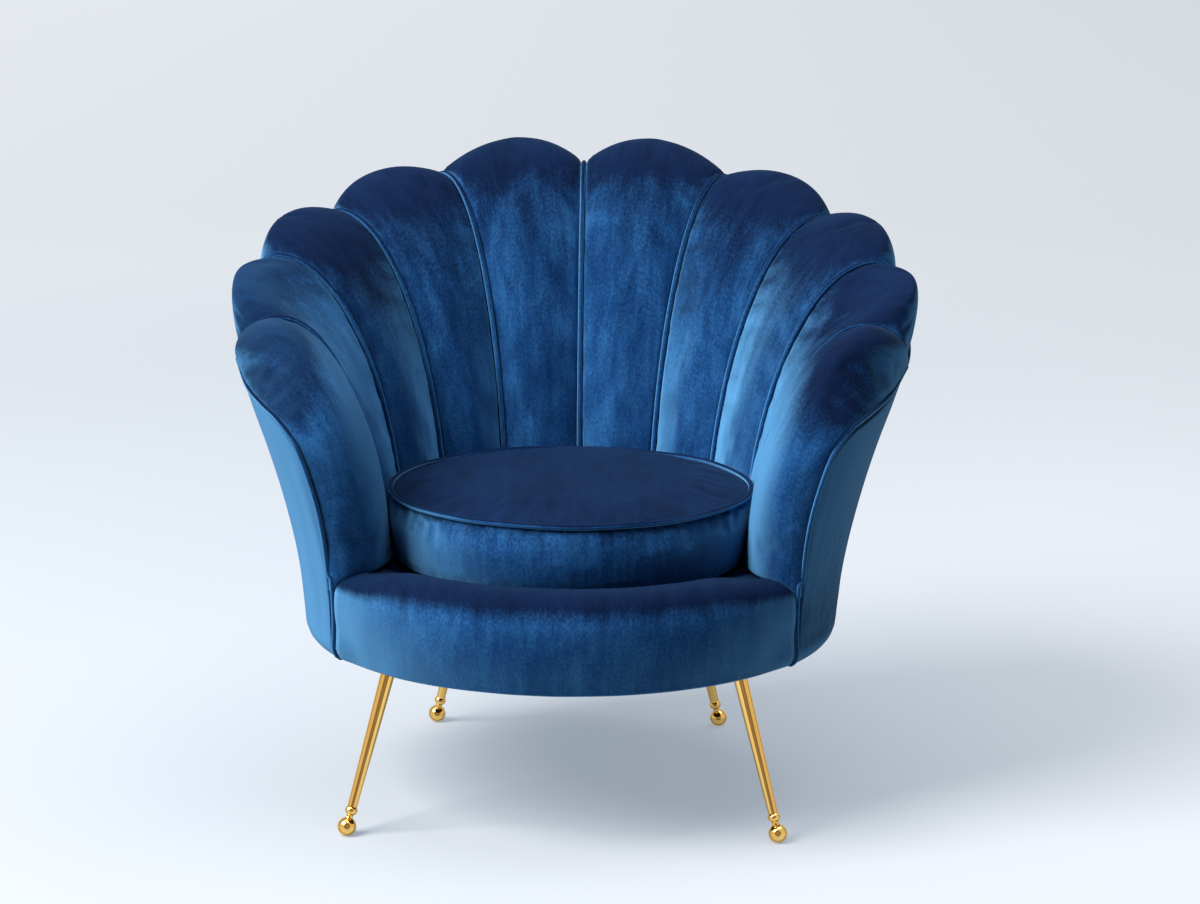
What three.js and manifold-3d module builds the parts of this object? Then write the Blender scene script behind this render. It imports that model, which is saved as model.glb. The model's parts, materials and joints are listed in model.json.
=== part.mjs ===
// Scallop back armchair: a ring of ten bulged channel pads on a plywood rib frame,
// a loose round seat cushion, and four splayed brass legs on ball feet.
// Lengths are millimetres and angles are degrees. Z is up and the seat faces -Y.
import * as THREE from 'three';
import { mergeVertices } from 'three/addons/utils/BufferGeometryUtils.js';
import Module from 'manifold-3d';

const wasm = await Module();
wasm.setup();

// Clearances
const GAP = 0.3;
const RIB_CLEAR = 5;
const HOOP_CLEAR = 2.8;
const FACET_GAP = 0.9;
const COVER_SLACK = 2.8;

// Shell: outside radius at its foot, and heights of its foot and of the back's middle seam
const SHELL_RADIUS = 344;
const SHELL_BOTTOM = 208;
const BACK_HEIGHT = 770;

// Boards and seat deck, each measured up from the one below
const BASE_LIFT = 19.5;
const SEAT_RISE = 65.7;
const DECK_RISE = 16.5;
const BASE_TOP = SHELL_BOTTOM + BASE_LIFT;
const SEAT_TOP = BASE_TOP + SEAT_RISE;
const DECK_TOP = SEAT_TOP + DECK_RISE;
const BACK_RISE = BACK_HEIGHT - DECK_TOP;

// Seat well and channel pads
const WELL_SHARE = 0.7064;
const WELL_RADIUS = WELL_SHARE * SHELL_RADIUS;
const PAD_START = DECK_TOP + GAP;
const PAD_DEPTH = 28;
const WALL_SHARE = 0.6;
const LEAN_SHARE = 0.1;
const END_DEPTH_SHARE = 0.5;
const END_CLEAR = 10;
const BULGE_POWER = 2.2;
const CROWN_INSET = 15;
const CROWN_SWELL = 10;

// Seam lines from the back centre to one arm. The angle is where the line starts round the well.
// The crest is its highest point: across and back as shares of the shell's radius, then height.
// The welt is where it ends on the outside. Heights are shares of the back's rise over the deck.
const SEAM_SHARES = [
  { angle: 0, crest: [0, 1.0814, 1], welt: 0.848 },
  { angle: 24, crest: [0.5523, 0.9971, 0.9717], welt: 0.8262 },
  { angle: 46.5, crest: [0.9506, 0.7616, 0.8805], welt: 0.7284 },
  { angle: 69, crest: [1.1395, 0.3634, 0.7893], welt: 0.6415 },
  { angle: 91, crest: [1.0843, -0.0436, 0.6567], welt: 0.5481 },
];

// Crown lines along the middle of the four pads on each side of the back centre, in the same way
const CROWN_SHARES = [
  { angle: 12, crest: [0.2791, 1.1192, 1.0674], welt: 0.848 },
  { angle: 35.5, crest: [0.8227, 0.9448, 0.9783], welt: 0.7871 },
  { angle: 58, crest: [1.1366, 0.5814, 0.8849], welt: 0.6893 },
  { angle: 80.5, crest: [1.2733, 0.1599, 0.7502], welt: 0.5959 },
];

// The arm pad rolls round the front of the arm: its crown line and its core, as shares across,
// back and up, and its front edge on the shell, as shares across and up
const ARM_CROWN_SHARES = [
  [0.6744, -0.436, 0.0267], [0.6802, -0.468, 0.1527], [0.7006, -0.4884, 0.2831],
  [0.7529, -0.5, 0.4113], [0.8401, -0.4797, 0.5329], [0.9448, -0.4244, 0.6263],
  [1.0523, -0.3547, 0.6654], [1.157, -0.2849, 0.6502], [1.2238, -0.2035, 0.6089],
  [1.2427, -0.0814, 0.559],
];
const ARM_EDGE_SHARES = [
  [0.8561, 0.0267], [0.8663, 0.131], [0.8808, 0.207], [0.9012, 0.2744], [0.9404, 0.37],
  [0.9651, 0.4078], [1.0233, 0.4569], [1.0872, 0.4808], [1.1628, 0.5068], [1.2384, 0.5503],
];
const ARM_CORE_SHARES = [
  [0.8721, -0.2616, 0.0267], [0.907, -0.2849, 0.2179], [1.0029, -0.2471, 0.4134],
  [1.1279, -0.1308, 0.5438],
];
const ARM_DEPTH_SHARE = 0.25;
const ARM_SLACK = 3;

// Outside of the shell
const ROUND_HEIGHT = 22;
const ROUND_DEPTH = 14;
const FLARE_RISE_SHARE = 0.6406;
const FLARE_RISE = FLARE_RISE_SHARE * (BACK_HEIGHT - SHELL_BOTTOM);
const BACK_FLARE_SHARE = 0.16;
const ARM_FLARE_SHARE = 0.2762;
const BACK_FLARE = BACK_FLARE_SHARE * SHELL_RADIUS;
const ARM_FLARE = ARM_FLARE_SHARE * SHELL_RADIUS;
const FLARE_POWER = 1.65;
const FLARE_TURN = 80;
const COVER_THICK = 3;
const EDGE_EASE_POWER = 3;

// Piping cord
const CORD_RADIUS = 2.8;
const CORD_PROUD = 1;
const CORD_SETBACK = CORD_RADIUS + 2 * GAP;
const CORD_END_SHARE = 0.995;

// Front border, between the two arms
const BORDER_TOP_ANGLE = 55.3;
const BORDER_FOOT_ANGLE = 58.3;
const NOSE_ANGLE = 52;
const NOSE_EASE = 1;
const BORDER_PROUD = 6;
const BORDER_TUCK = 12;
const BORDER_ROUND = 38;
const BORDER_DROP = 3.2;
const BORDER_ROLL = 44;
const LIP_OVERLAP = 21;
const LIP_RISE = 8.3;
const NOSE_RISE = 3;
const BORDER_FACE = SHELL_RADIUS + BORDER_PROUD;
const BORDER_FOOT = SHELL_RADIUS - BORDER_TUCK;
const BORDER_FACE_HEIGHT = SEAT_TOP - BORDER_DROP;
const BORDER_CREST = BORDER_FACE_HEIGHT + BORDER_ROLL;
const BORDER_CREST_RADIUS = BORDER_FACE - BORDER_ROUND;
const BORDER_LIP_RADIUS = WELL_RADIUS + LIP_OVERLAP;
const BORDER_LIP = DECK_TOP + LIP_RISE;

// Plywood frame
const BASE_PLY = 15;
const BASE_INSET = 21.5;
const BASE_RADIUS = SHELL_RADIUS - BASE_INSET;
const BASE_HOLE_SHARE = 0.465;
const BASE_HOLE = BASE_HOLE_SHARE * BASE_RADIUS;
const SEAT_PLY = 18;
const SEAT_HOLE_SHARE = 0.782;
const SEAT_HOLE = SEAT_HOLE_SHARE * WELL_RADIUS;
const SEAT_NOSE_ANGLE = 49;
const RAIL_NOSE_ANGLE = 52;
const RAIL_THICK = 25;
const RAIL_RISE = 22.3;
const RAIL_TOP = SEAT_TOP + RAIL_RISE;
const BORDER_NOSE_TOP = RAIL_TOP + NOSE_RISE;
const RIB_PLY = 12;
const HOOP_PLY = 6;
const HOOP_RISE_SHARE = 0.2614;
const HOOP_LOW = DECK_TOP + HOOP_RISE_SHARE * BACK_RISE;
const HOOP_TALL = 60;
const HOOP_TURN = 100;
const POST_ANGLE = 108.5;
const POST_INSET = 29;
const POST_RADIUS = SHELL_RADIUS - POST_INSET;
const POST_DEEP = 34;
const POST_WIDE = 45;
const POST_RISE_SHARE = 0.3048;
const POST_TOP = DECK_TOP + POST_RISE_SHARE * BACK_RISE;

// Seat deck
const WEB_THICK = 2;
const WEB_WIDE = 50;
const WEB_PITCH_SHARE = 0.463;
const WEB_PITCH = WEB_PITCH_SHARE * SEAT_HOLE;
const WEB_LAP = 25;
const WEB_REACH = SEAT_HOLE + WEB_LAP;
const DUST_THICK = 1.5;

// Loose seat cushion
const CUSHION_FORWARD = 14.5;
const CUSHION_CLEAR = 10.5;
const CUSHION_TAPER = 13.5;
const CUSHION_THICK = 87.3;
const CUSHION_RADIUS = WELL_RADIUS - CUSHION_CLEAR;
const CUSHION_FOOT_RADIUS = CUSHION_RADIUS - CUSHION_TAPER;
const CUSHION_BOTTOM = DECK_TOP + GAP;
const CUSHION_WELT = DECK_TOP + CUSHION_THICK;
const CUSHION_CROWN = 18;
const CUSHION_BULGE = 3;
const CROWN_POWER = 2.4;
const CLOTH_THICK = 2;

// Legs
const FRONT_LEG = { angle: 133.51, inset: 23.3 };
const REAR_LEG = { angle: 35.27, inset: 62.9 };
const FRONT_SPLAY = [0.26, 0.2];
const REAR_SPLAY = [0.235, 0.165];
const BALL_RADIUS = 12;
const BALL_FLAT = 0.8;
const NECK_RADIUS = 4.8;
const NECK_LONG = 5;
const BEAD_RADIUS = 8;
const BEAD_LONG = 10;
const BEAD_ROW_SHARES = [0.05, 0.25, 0.5, 0.75, 0.95];
const BALL_ROOM_SHARE = 8;
const LEG_FOOT_RADIUS = 6.25;
const LEG_TOP_RADIUS = 9.5;
const PLATE_THICK = 3;
const PLATE_DEEP = 30;
const PLATE_WIDE = 56;
const PLATE_CORNER = 8;
const PLATE_SLOT = 1.5;

// Mesh steps
const WALL_STEPS = 8;
const ROLL_STEPS = 6;
const PAD_STEPS = 6;
const CORD_SIDES = 6;
const ROUND_STEPS = 40;
const BOARD_STEPS = 20;
const EDGE_STEPS = 3;
const COVER_SHARES = [0, 0.1, 0.25, 0.5, 0.75, 1];
const CORD_DROP_SHARES = [0.35, 0.7, 1];
const RIB_SHARES = [0, 0.25, 0.5, 0.75, 1];
const BORDER_STEPS = 20;
const HOOP_STEPS = 48;
const BALL_STEPS = 7;
const LEG_SIDES = 16;

const VELVET = { color: 0x173a73, roughness: 0.85, metalness: 0 };
const PIPING = { color: 0x122f61, roughness: 0.8, metalness: 0 };
const BRASS = { color: 0xd4a24a, roughness: 0.22, metalness: 1 };
const PLYWOOD = { color: 0xc9a676, roughness: 0.75, metalness: 0 };
const FOAM = { color: 0xe8dcc0, roughness: 0.95, metalness: 0 };
const WEBBING = { color: 0x2b2b2d, roughness: 0.9, metalness: 0 };
const DUST_CLOTH = { color: 0x1d1e20, roughness: 0.95, metalness: 0 };
const STEEL = { color: 0x8d9094, roughness: 0.45, metalness: 1 };

const QUARTER = Math.PI / 2;
const FRONT_ANGLE = 180;
const UP = new THREE.Vector3(0, 0, 1);
const rad = THREE.MathUtils.degToRad;
const lerp = THREE.MathUtils.lerp;
const chair = new THREE.Group();
chair.name = 'scallop_back_chair';

// Adds one named piece of the chair
function addPiece(name, geometry, look) {
  const mesh = new THREE.Mesh(geometry, new THREE.MeshStandardMaterial(look));
  mesh.name = name;
  chair.add(mesh);
}

// Joins equal corners and drops triangles that have no area
function weld(geometry) {
  geometry.deleteAttribute('normal');
  geometry.deleteAttribute('uv');
  const joined = mergeVertices(geometry);
  const index = joined.index.array;
  const kept = [];
  for (let i = 0; i < index.length; i += 3) {
    const [a, b, c] = [index[i], index[i + 1], index[i + 2]];
    if (a !== b && b !== c && a !== c) kept.push(a, b, c);
  }
  joined.setIndex(kept);
  return joined;
}

// Six times the volume, negative when the faces point inwards
function signedVolume(geometry) {
  const at = geometry.attributes.position;
  const index = geometry.index.array;
  const [a, b, c] = [new THREE.Vector3(), new THREE.Vector3(), new THREE.Vector3()];
  let sum = 0;
  for (let i = 0; i < index.length; i += 3) {
    a.fromBufferAttribute(at, index[i]);
    b.fromBufferAttribute(at, index[i + 1]);
    c.fromBufferAttribute(at, index[i + 2]);
    sum += a.dot(b.cross(c));
  }
  return sum;
}

// Turns every face outwards
function faceOut(geometry) {
  if (signedVolume(geometry) < 0) {
    const index = geometry.index.array;
    for (let i = 0; i < index.length; i += 3) {
      [index[i], index[i + 1]] = [index[i + 1], index[i]];
    }
  }
  geometry.computeVertexNormals();
  return geometry;
}

function finish(geometry) {
  return faceOut(weld(geometry));
}

function mirrored(geometry) {
  return faceOut(geometry.clone().scale(-1, 1, 1));
}

// Closed solid from triangles given as corner numbers
function solidFrom(points, faces) {
  const geometry = new THREE.BufferGeometry();
  geometry.setAttribute('position', new THREE.Float32BufferAttribute(points.flatMap((p) => p.toArray()), 3));
  geometry.setAttribute('normal', new THREE.Float32BufferAttribute(new Float32Array(points.length * 3), 3));
  geometry.setIndex(faces);
  return finish(geometry);
}

// Closed solid between two grids of points that face each other
function slab(front, back) {
  const rows = front.length;
  const cols = front[0].length;
  const half = rows * cols;
  const at = (row, col) => row * cols + col;
  const faces = [];
  const quad = (a, b, c, d) => faces.push(a, b, c, a, c, d);
  for (let r = 0; r + 1 < rows; r += 1) {
    for (let c = 0; c + 1 < cols; c += 1) {
      quad(at(r, c), at(r, c + 1), at(r + 1, c + 1), at(r + 1, c));
      quad(half + at(r, c), half + at(r + 1, c), half + at(r + 1, c + 1), half + at(r, c + 1));
    }
  }
  for (let r = 0; r + 1 < rows; r += 1) {
    quad(at(r, 0), at(r + 1, 0), half + at(r + 1, 0), half + at(r, 0));
    quad(at(r, cols - 1), half + at(r, cols - 1), half + at(r + 1, cols - 1), at(r + 1, cols - 1));
  }
  for (let c = 0; c + 1 < cols; c += 1) {
    quad(at(0, c), half + at(0, c), half + at(0, c + 1), at(0, c + 1));
    quad(at(rows - 1, c), at(rows - 1, c + 1), half + at(rows - 1, c + 1), half + at(rows - 1, c));
  }
  return solidFrom([...front.flat(), ...back.flat()], faces);
}

// Closed solid through a row of like outlines. flat is the first outline in the plane.
function sweep(outlines, flat) {
  const count = flat.length;
  const faces = [];
  for (let s = 0; s + 1 < outlines.length; s += 1) {
    for (let i = 0; i < count; i += 1) {
      const j = (i + 1) % count;
      const [a, b] = [s * count + i, s * count + j];
      faces.push(a, b, b + count, a, b + count, a + count);
    }
  }
  const last = (outlines.length - 1) * count;
  for (const [a, b, c] of THREE.ShapeUtils.triangulateShape(flat, [])) {
    faces.push(a, c, b, last + a, last + b, last + c);
  }
  return solidFrom(outlines.flat(), faces);
}

// Radius of the outside of the shell at an angle from the back and a height
function outerRadius(angle, height) {
  const low = SHELL_BOTTOM + ROUND_HEIGHT;
  if (height < low) {
    const drop = Math.min((low - height) / ROUND_HEIGHT, 1);
    return SHELL_RADIUS - ROUND_DEPTH * (1 - Math.sqrt(1 - drop ** 2));
  }
  const flare = lerp(BACK_FLARE, ARM_FLARE, THREE.MathUtils.smoothstep(Math.abs(angle), 0, FLARE_TURN));
  return SHELL_RADIUS + flare * ((height - low) / FLARE_RISE) ** FLARE_POWER;
}

function angleOf(x, y) {
  return THREE.MathUtils.radToDeg(Math.atan2(x, y));
}

// Point at an angle from the back, a radius and a height
function around(angle, radius, height) {
  return new THREE.Vector3(radius * Math.sin(rad(angle)), radius * Math.cos(rad(angle)), height);
}

// Lays a seam or crown line out in its own upright plane
function layOut(line, inset, swell) {
  const start = around(line.angle, WELL_RADIUS - inset, 0);
  const way = new THREE.Vector3(line.crest[0], line.crest[1], 0).sub(start);
  const run = way.length();
  way.normalize();
  const reachAt = (height, trim) => {
    const outer = outerRadius(angleOf(line.crest[0], line.crest[1]), height) - trim;
    const along = start.dot(way);
    return Math.sqrt(along ** 2 - start.lengthSq() + outer ** 2) - along;
  };
  const top = line.crest[2];
  const end = line.welt + CORD_SETBACK;
  const { welt } = line;
  return { start, way, run, top, end, welt, swell, reachAt, reach: reachAt(welt, 0) };
}

// Place along a laid-out line in its plane, at a depth inside the velvet
function inPlane(line, share, depth) {
  const top = line.top - depth;
  const room = Math.max(END_DEPTH_SHARE * (line.reach - line.run), END_CLEAR);
  const endDepth = Math.min(depth, room + Math.max(depth - PAD_DEPTH, 0));
  if (share <= WALL_SHARE) {
    const turn = (share / WALL_SHARE) * QUARTER;
    const out = (1 - LEAN_SHARE) * (1 - Math.cos(turn)) + LEAN_SHARE * Math.sin(turn);
    return [lerp(depth, line.run, out), lerp(PAD_START, top, Math.sin(turn))];
  }
  const turn = ((share - WALL_SHARE) / (1 - WALL_SHARE)) * QUARTER;
  const swell = depth > 0 ? 0 : line.swell * Math.sin(2 * turn);
  const out = lerp(line.run, line.reach - endDepth, Math.sin(turn)) + swell;
  return [out, lerp(line.end, top, Math.cos(turn))];
}

function alongLine(line, share, depth = 0) {
  const [out, height] = inPlane(line, share, depth);
  return line.start.clone().addScaledVector(line.way, out).setZ(height);
}

// A place in millimetres from its shares across, back and up
function placed([across, back, up]) {
  return new THREE.Vector3(across * SHELL_RADIUS, back * SHELL_RADIUS, DECK_TOP + up * BACK_RISE);
}

function sized(line) {
  return { angle: line.angle, crest: placed(line.crest).toArray(), welt: DECK_TOP + line.welt * BACK_RISE };
}

const seamLines = SEAM_SHARES.map((line) => layOut(sized(line), 0, 0));
const crownLines = CROWN_SHARES.map((line) => layOut(sized(line), CROWN_INSET, CROWN_SWELL));

const curveThrough = (points) => new THREE.CatmullRomCurve3(points, false, 'centripetal');
const armCrown = curveThrough(ARM_CROWN_SHARES.map(placed));
const armCore = curveThrough(ARM_CORE_SHARES.map(placed));
const armEdge = curveThrough(ARM_EDGE_SHARES.map(([across, up]) => {
  const place = placed([across, 0, up]);
  const radius = outerRadius(FLARE_TURN, place.z);
  place.y = -Math.sqrt(Math.max(radius ** 2 - place.x ** 2, 0));
  return place;
}));
const ARM_EDGE_FOOT = armEdge.getPoint(0).z;

// Shares along a line where the meshes have their rows
const rowShares = [];
for (let i = 0; i <= WALL_STEPS; i += 1) rowShares.push((WALL_SHARE * i) / WALL_STEPS);
for (let i = 1; i <= ROLL_STEPS; i += 1) rowShares.push(WALL_SHARE + ((1 - WALL_SHARE) * i) / ROLL_STEPS);

// Velvet face of a pad between a left, a middle and a right point
function arched(left, middle, right, across) {
  const rise = 1 - Math.abs(2 * across - 1) ** BULGE_POWER;
  const mean = left.clone().lerp(right, 0.5);
  return left.clone().lerp(right, across).addScaledVector(middle.clone().sub(mean), rise);
}

function padFace(pad, across, share) {
  return arched(
    alongLine(seamLines[pad], share),
    alongLine(crownLines[pad], share),
    alongLine(seamLines[pad + 1], share),
    across,
  );
}

function armFace(across, share) {
  return arched(
    alongLine(seamLines.at(-1), share),
    armCrown.getPointAt(share),
    armEdge.getPointAt(share),
    across,
  );
}

// Share across a pad where its face has left a seam by the cord's setback
function clearOf(face, away, fromRight) {
  let [near, far] = [0, 0.5];
  for (let i = 0; i < 20; i += 1) {
    const middle = (near + far) / 2;
    const point = face(fromRight ? 1 - middle : middle);
    if (away(point) < CORD_SETBACK) near = middle;
    else far = middle;
  }
  return fromRight ? 1 - far : far;
}

// Distance of a point from the upright plane of a seam
function fromSeam(line) {
  const side = line.way.clone().cross(UP);
  return (point) => Math.abs(point.clone().sub(line.start).dot(side));
}

// Distance of a point from the arm's front edge, as the cord on it runs
function fromArmEdge(point) {
  const line = rowShares.map((share) => armEdge.getPointAt(share));
  const nearest = new THREE.Vector3();
  const spans = line.slice(1).map((end, i) => new THREE.Line3(line[i], end));
  return Math.min(...spans.map((span) => span.closestPointToPoint(point, true, nearest).distanceTo(point)));
}

const acrossShares = Array.from({ length: PAD_STEPS + 1 }, (_, i) => i / PAD_STEPS);

// One channel pad: bulged velvet face, flat back on the ribs
function padSolid(pad) {
  const [left, right] = [seamLines[pad], seamLines[pad + 1]];
  const front = [];
  const back = [];
  for (const share of rowShares) {
    const face = (across) => padFace(pad, across, share);
    const from = clearOf(face, fromSeam(left), false);
    const to = clearOf(face, fromSeam(right), true);
    const cuts = acrossShares.map((step) => lerp(from, to, step));
    const inner = alongLine(left, share, PAD_DEPTH);
    const outer = alongLine(right, share, PAD_DEPTH);
    const behind = (across) => inner.clone().lerp(outer, across);
    front.push(cuts.map(face));
    const backFrom = clearOf(behind, fromSeam(left), false);
    const backTo = clearOf(behind, fromSeam(right), true);
    back.push(acrossShares.map((step) => behind(lerp(backFrom, backTo, step))));
  }
  return slab(front, back);
}

// The arm pad: rolls from the last seam round the nose of the arm to its front edge
function armPadSolid() {
  const front = [];
  const back = [];
  const last = seamLines.at(-1);
  for (const share of rowShares) {
    const core = armCore.getPointAt(share);
    const face = (across) => armFace(across, share);
    const from = clearOf(face, fromSeam(last), false);
    const to = clearOf(face, (point) => fromArmEdge(point) - ARM_SLACK, true);
    const points = acrossShares.map((step) => face(lerp(from, to, step)));
    front.push(points);
    back.push(points.map((point) => point.clone().lerp(core, ARM_DEPTH_SHARE)));
  }
  return slab(front, back);
}

// Line through given points, sampled at those points
class PointLine extends THREE.Curve {
  constructor(points) {
    super();
    this.points = points;
  }

  getPoint(share) {
    const place = share * (this.points.length - 1);
    const before = Math.min(Math.floor(place + 1e-9), this.points.length - 2);
    return this.points[before].clone().lerp(this.points[before + 1], place - before);
  }

  getPointAt(share) {
    return this.getPoint(share);
  }

  getTangentAt(share) {
    return this.getTangent(share);
  }
}

function cordSolid(points) {
  const section = new THREE.Shape();
  for (let i = 0; i < CORD_SIDES; i += 1) {
    const turn = (i / CORD_SIDES) * 2 * Math.PI;
    const corner = [CORD_RADIUS * Math.cos(turn), CORD_RADIUS * Math.sin(turn)];
    if (i === 0) section.moveTo(...corner);
    else section.lineTo(...corner);
  }
  const path = new PointLine(points);
  return finish(new THREE.ExtrudeGeometry(section, {
    steps: points.length - 1,
    bevelEnabled: false,
    extrudePath: path,
  }));
}

// Piping down the valley between two pads, a little proud of the seam
function seamCordSolid(line) {
  const shares = [...rowShares.slice(0, -1), CORD_END_SHARE];
  return cordSolid(shares.map((share) => alongLine(line, share, -CORD_PROUD)));
}

// Angle from the front, at a height, of the upright seam beside the front border
function borderAngle(height) {
  const low = SHELL_BOTTOM;
  const share = THREE.MathUtils.clamp((height - low) / (ARM_EDGE_FOOT - low), 0, 1);
  return lerp(BORDER_FOOT_ANGLE, BORDER_TOP_ANGLE, share);
}

// Edge of the outside cover on one side: the pads' outer ends from the back centre to the arm,
// then down the front edge of the arm
function coverEdge() {
  const points = [];
  for (let pad = 0; pad < CROWN_SHARES.length; pad += 1) {
    for (let i = 0; i < EDGE_STEPS; i += 1) {
      points.push(padFace(pad, i / EDGE_STEPS, 1).sub(new THREE.Vector3(0, 0, CORD_SETBACK)));
    }
  }
  points.push(alongLine(seamLines.at(-1), 1).sub(new THREE.Vector3(0, 0, CORD_SETBACK)));
  const top = points.length;
  for (const share of rowShares.toReversed()) points.push(armEdge.getPointAt(share));
  return { points, top };
}

// Moves a point of the shell's edge across the edge, down and into the outside cover
function intoCover(points, at) {
  const before = points[Math.max(at - 1, 0)];
  const after = points[Math.min(at + 1, points.length - 1)];
  const tangent = after.clone().sub(before).normalize();
  const outward = new THREE.Vector3(points[at].x, points[at].y, 0).normalize();
  const inward = outward.cross(tangent).normalize();
  if (at === 0) inward.set(0, 0, -1);
  const moved = points[at].clone().addScaledVector(inward, CORD_SETBACK + GAP);
  const angle = angleOf(moved.x, moved.y);
  return { angle, height: moved.z };
}

const edge = coverEdge();

// The outside cover of one side, as columns from the back centre to the border seam
function coverColumns() {
  const columns = [];
  const footAngle = FRONT_ANGLE - borderAngle(SHELL_BOTTOM) - cordTurn(outerRadius(FLARE_TURN, SHELL_BOTTOM));
  const count = edge.points.length;
  const armAngle = intoCover(edge.points, edge.top).angle;
  for (let i = 0; i < count; i += 1) {
    const top = intoCover(edge.points, i);
    const along = (i - edge.top) / (count - 1 - edge.top);
    const foot = i < edge.top ? top.angle : lerp(armAngle, footAngle, along);
    const place = edge.points[i];
    const excess = i < edge.top ? Math.hypot(place.x, place.y) - outerRadius(top.angle, place.z) : 0;
    const rows = COVER_SHARES.map((share) => {
      const height = lerp(SHELL_BOTTOM, top.height, share);
      const angle = lerp(foot, top.angle, share);
      return { angle, height, radius: outerRadius(angle, height) + excess * share ** EDGE_EASE_POWER };
    });
    columns.push(rows);
  }
  return columns;
}

// Turn in degrees that equals the cord's setback at a radius
function cordTurn(radius) {
  return THREE.MathUtils.radToDeg(CORD_SETBACK / radius);
}

function coverSolid() {
  const half = coverColumns();
  const other = half.slice(1).reverse().map((rows) => rows.map((p) => ({ ...p, angle: -p.angle })));
  const columns = [...other, ...half];
  const skin = (trim) => columns.map((rows) => rows.map((p) => around(p.angle, p.radius - trim, p.height)));
  return slab(skin(0), skin(COVER_THICK));
}

// One cord along the whole edge of the cover, from border seam to border seam
function edgeCordSolid() {
  const half = edge.points.map((point) => point.clone());
  for (const share of CORD_DROP_SHARES) {
    const height = lerp(ARM_EDGE_FOOT, SHELL_BOTTOM + ROUND_HEIGHT / 2, share);
    half.push(around(FRONT_ANGLE - borderAngle(height), outerRadius(FLARE_TURN, height), height));
  }
  const other = half.slice(1).reverse().map((point) => point.clone().setX(-point.x));
  return cordSolid([...other, ...half]);
}

// Rows up the border's face, over its crest and down to its lip
const FACE_ROW_SHARES = [0.3, 0.65, 1];
const CREST_ROW_SHARES = [0.25, 0.5, 0.75, 1];
const LIP_ROW_SHARES = [0.35, 0.7, 1];

// Outline of the front border as radius and height pairs
function borderOutline(nose) {
  const face = BORDER_FACE;
  const crest = nose ? BORDER_NOSE_TOP : BORDER_CREST;
  const railOuter = BASE_RADIUS + FACET_GAP;
  const railInner = BASE_RADIUS - RAIL_THICK - FACET_GAP;
  const underside = SHELL_BOTTOM + GAP;
  const seat = SEAT_TOP + GAP;
  const points = [[railOuter, underside], [BORDER_FOOT, underside]];
  for (const share of FACE_ROW_SHARES) {
    const bow = Math.sin(share * QUARTER);
    points.push([lerp(BORDER_FOOT, face, bow), lerp(underside, BORDER_FACE_HEIGHT, share)]);
  }
  for (const share of CREST_ROW_SHARES) {
    const turn = share * QUARTER;
    points.push([
      lerp(BORDER_CREST_RADIUS, face, Math.cos(turn)),
      lerp(BORDER_FACE_HEIGHT, crest, Math.sin(turn)),
    ]);
  }
  for (const share of LIP_ROW_SHARES) {
    const turn = share * QUARTER;
    points.push([
      lerp(BORDER_CREST_RADIUS, BORDER_LIP_RADIUS, Math.sin(turn)),
      lerp(nose ? BORDER_NOSE_TOP : BORDER_LIP, crest, Math.cos(turn)) - (nose && share === 1 ? GAP : 0),
    ]);
  }
  points.push([BORDER_LIP_RADIUS, seat], [railInner, seat]);
  points.push([railInner, RAIL_TOP + GAP], [railOuter, RAIL_TOP + GAP]);
  return points;
}

// One section across the border; its angle from the middle is a share of the seam's angle
function borderSection(share, nose) {
  return borderOutline(nose).map(([radius, height]) => {
    const reach = borderAngle(height) - cordTurn(radius);
    return around(FRONT_ANGLE - share * reach, radius, height);
  });
}

function borderSolid() {
  const noseShare = NOSE_ANGLE / BORDER_TOP_ANGLE;
  const fullShare = (NOSE_ANGLE - NOSE_EASE) / BORDER_TOP_ANGLE;
  const outlines = [borderSection(-1, true), borderSection(-noseShare, true)];
  for (let i = 0; i <= BORDER_STEPS; i += 1) {
    outlines.push(borderSection(lerp(-fullShare, fullShare, i / BORDER_STEPS), false));
  }
  outlines.push(borderSection(noseShare, true), borderSection(1, true));
  return sweep(outlines, borderOutline(true).map(([radius, height]) => new THREE.Vector2(radius, height)));
}

// Flat board from a shape drawn in the ground plane, with its top at a height
function boardSolid(shape, thick, top) {
  const geometry = new THREE.ExtrudeGeometry(shape, { depth: thick, bevelEnabled: false, curveSegments: BOARD_STEPS });
  return finish(geometry.translate(0, 0, top - thick));
}

function roundHole(x, y, radius) {
  return new THREE.Path().absarc(x, y, radius, 0, 2 * Math.PI, true);
}

function baseBoardSolid() {
  const shape = new THREE.Shape().absarc(0, 0, BASE_RADIUS, 0, 2 * Math.PI);
  shape.holes.push(roundHole(0, 0, BASE_HOLE));
  return boardSolid(shape, BASE_PLY, BASE_TOP);
}

// Seat board: a ring that reaches forward to the rail between the ends of the border
function seatBoardSolid() {
  const inner = WELL_RADIUS + PAD_DEPTH + GAP;
  const front = BASE_RADIUS - RAIL_THICK - GAP;
  const nose = rad(SEAT_NOSE_ANGLE);
  const shape = new THREE.Shape();
  shape.absarc(0, 0, front, -QUARTER - nose, -QUARTER + nose);
  shape.absarc(0, 0, inner, -QUARTER + nose, 3 * QUARTER - nose);
  shape.closePath();
  shape.holes.push(roundHole(0, 0, SEAT_HOLE));
  return boardSolid(shape, SEAT_PLY, SEAT_TOP);
}

function railSolid() {
  const nose = rad(RAIL_NOSE_ANGLE);
  const shape = new THREE.Shape();
  shape.absarc(0, 0, BASE_RADIUS, -QUARTER - nose, -QUARTER + nose);
  shape.absarc(0, 0, BASE_RADIUS - RAIL_THICK, -QUARTER + nose, -QUARTER - nose, true);
  shape.closePath();
  return boardSolid(shape, RAIL_TOP - BASE_TOP - GAP, RAIL_TOP);
}

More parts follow.
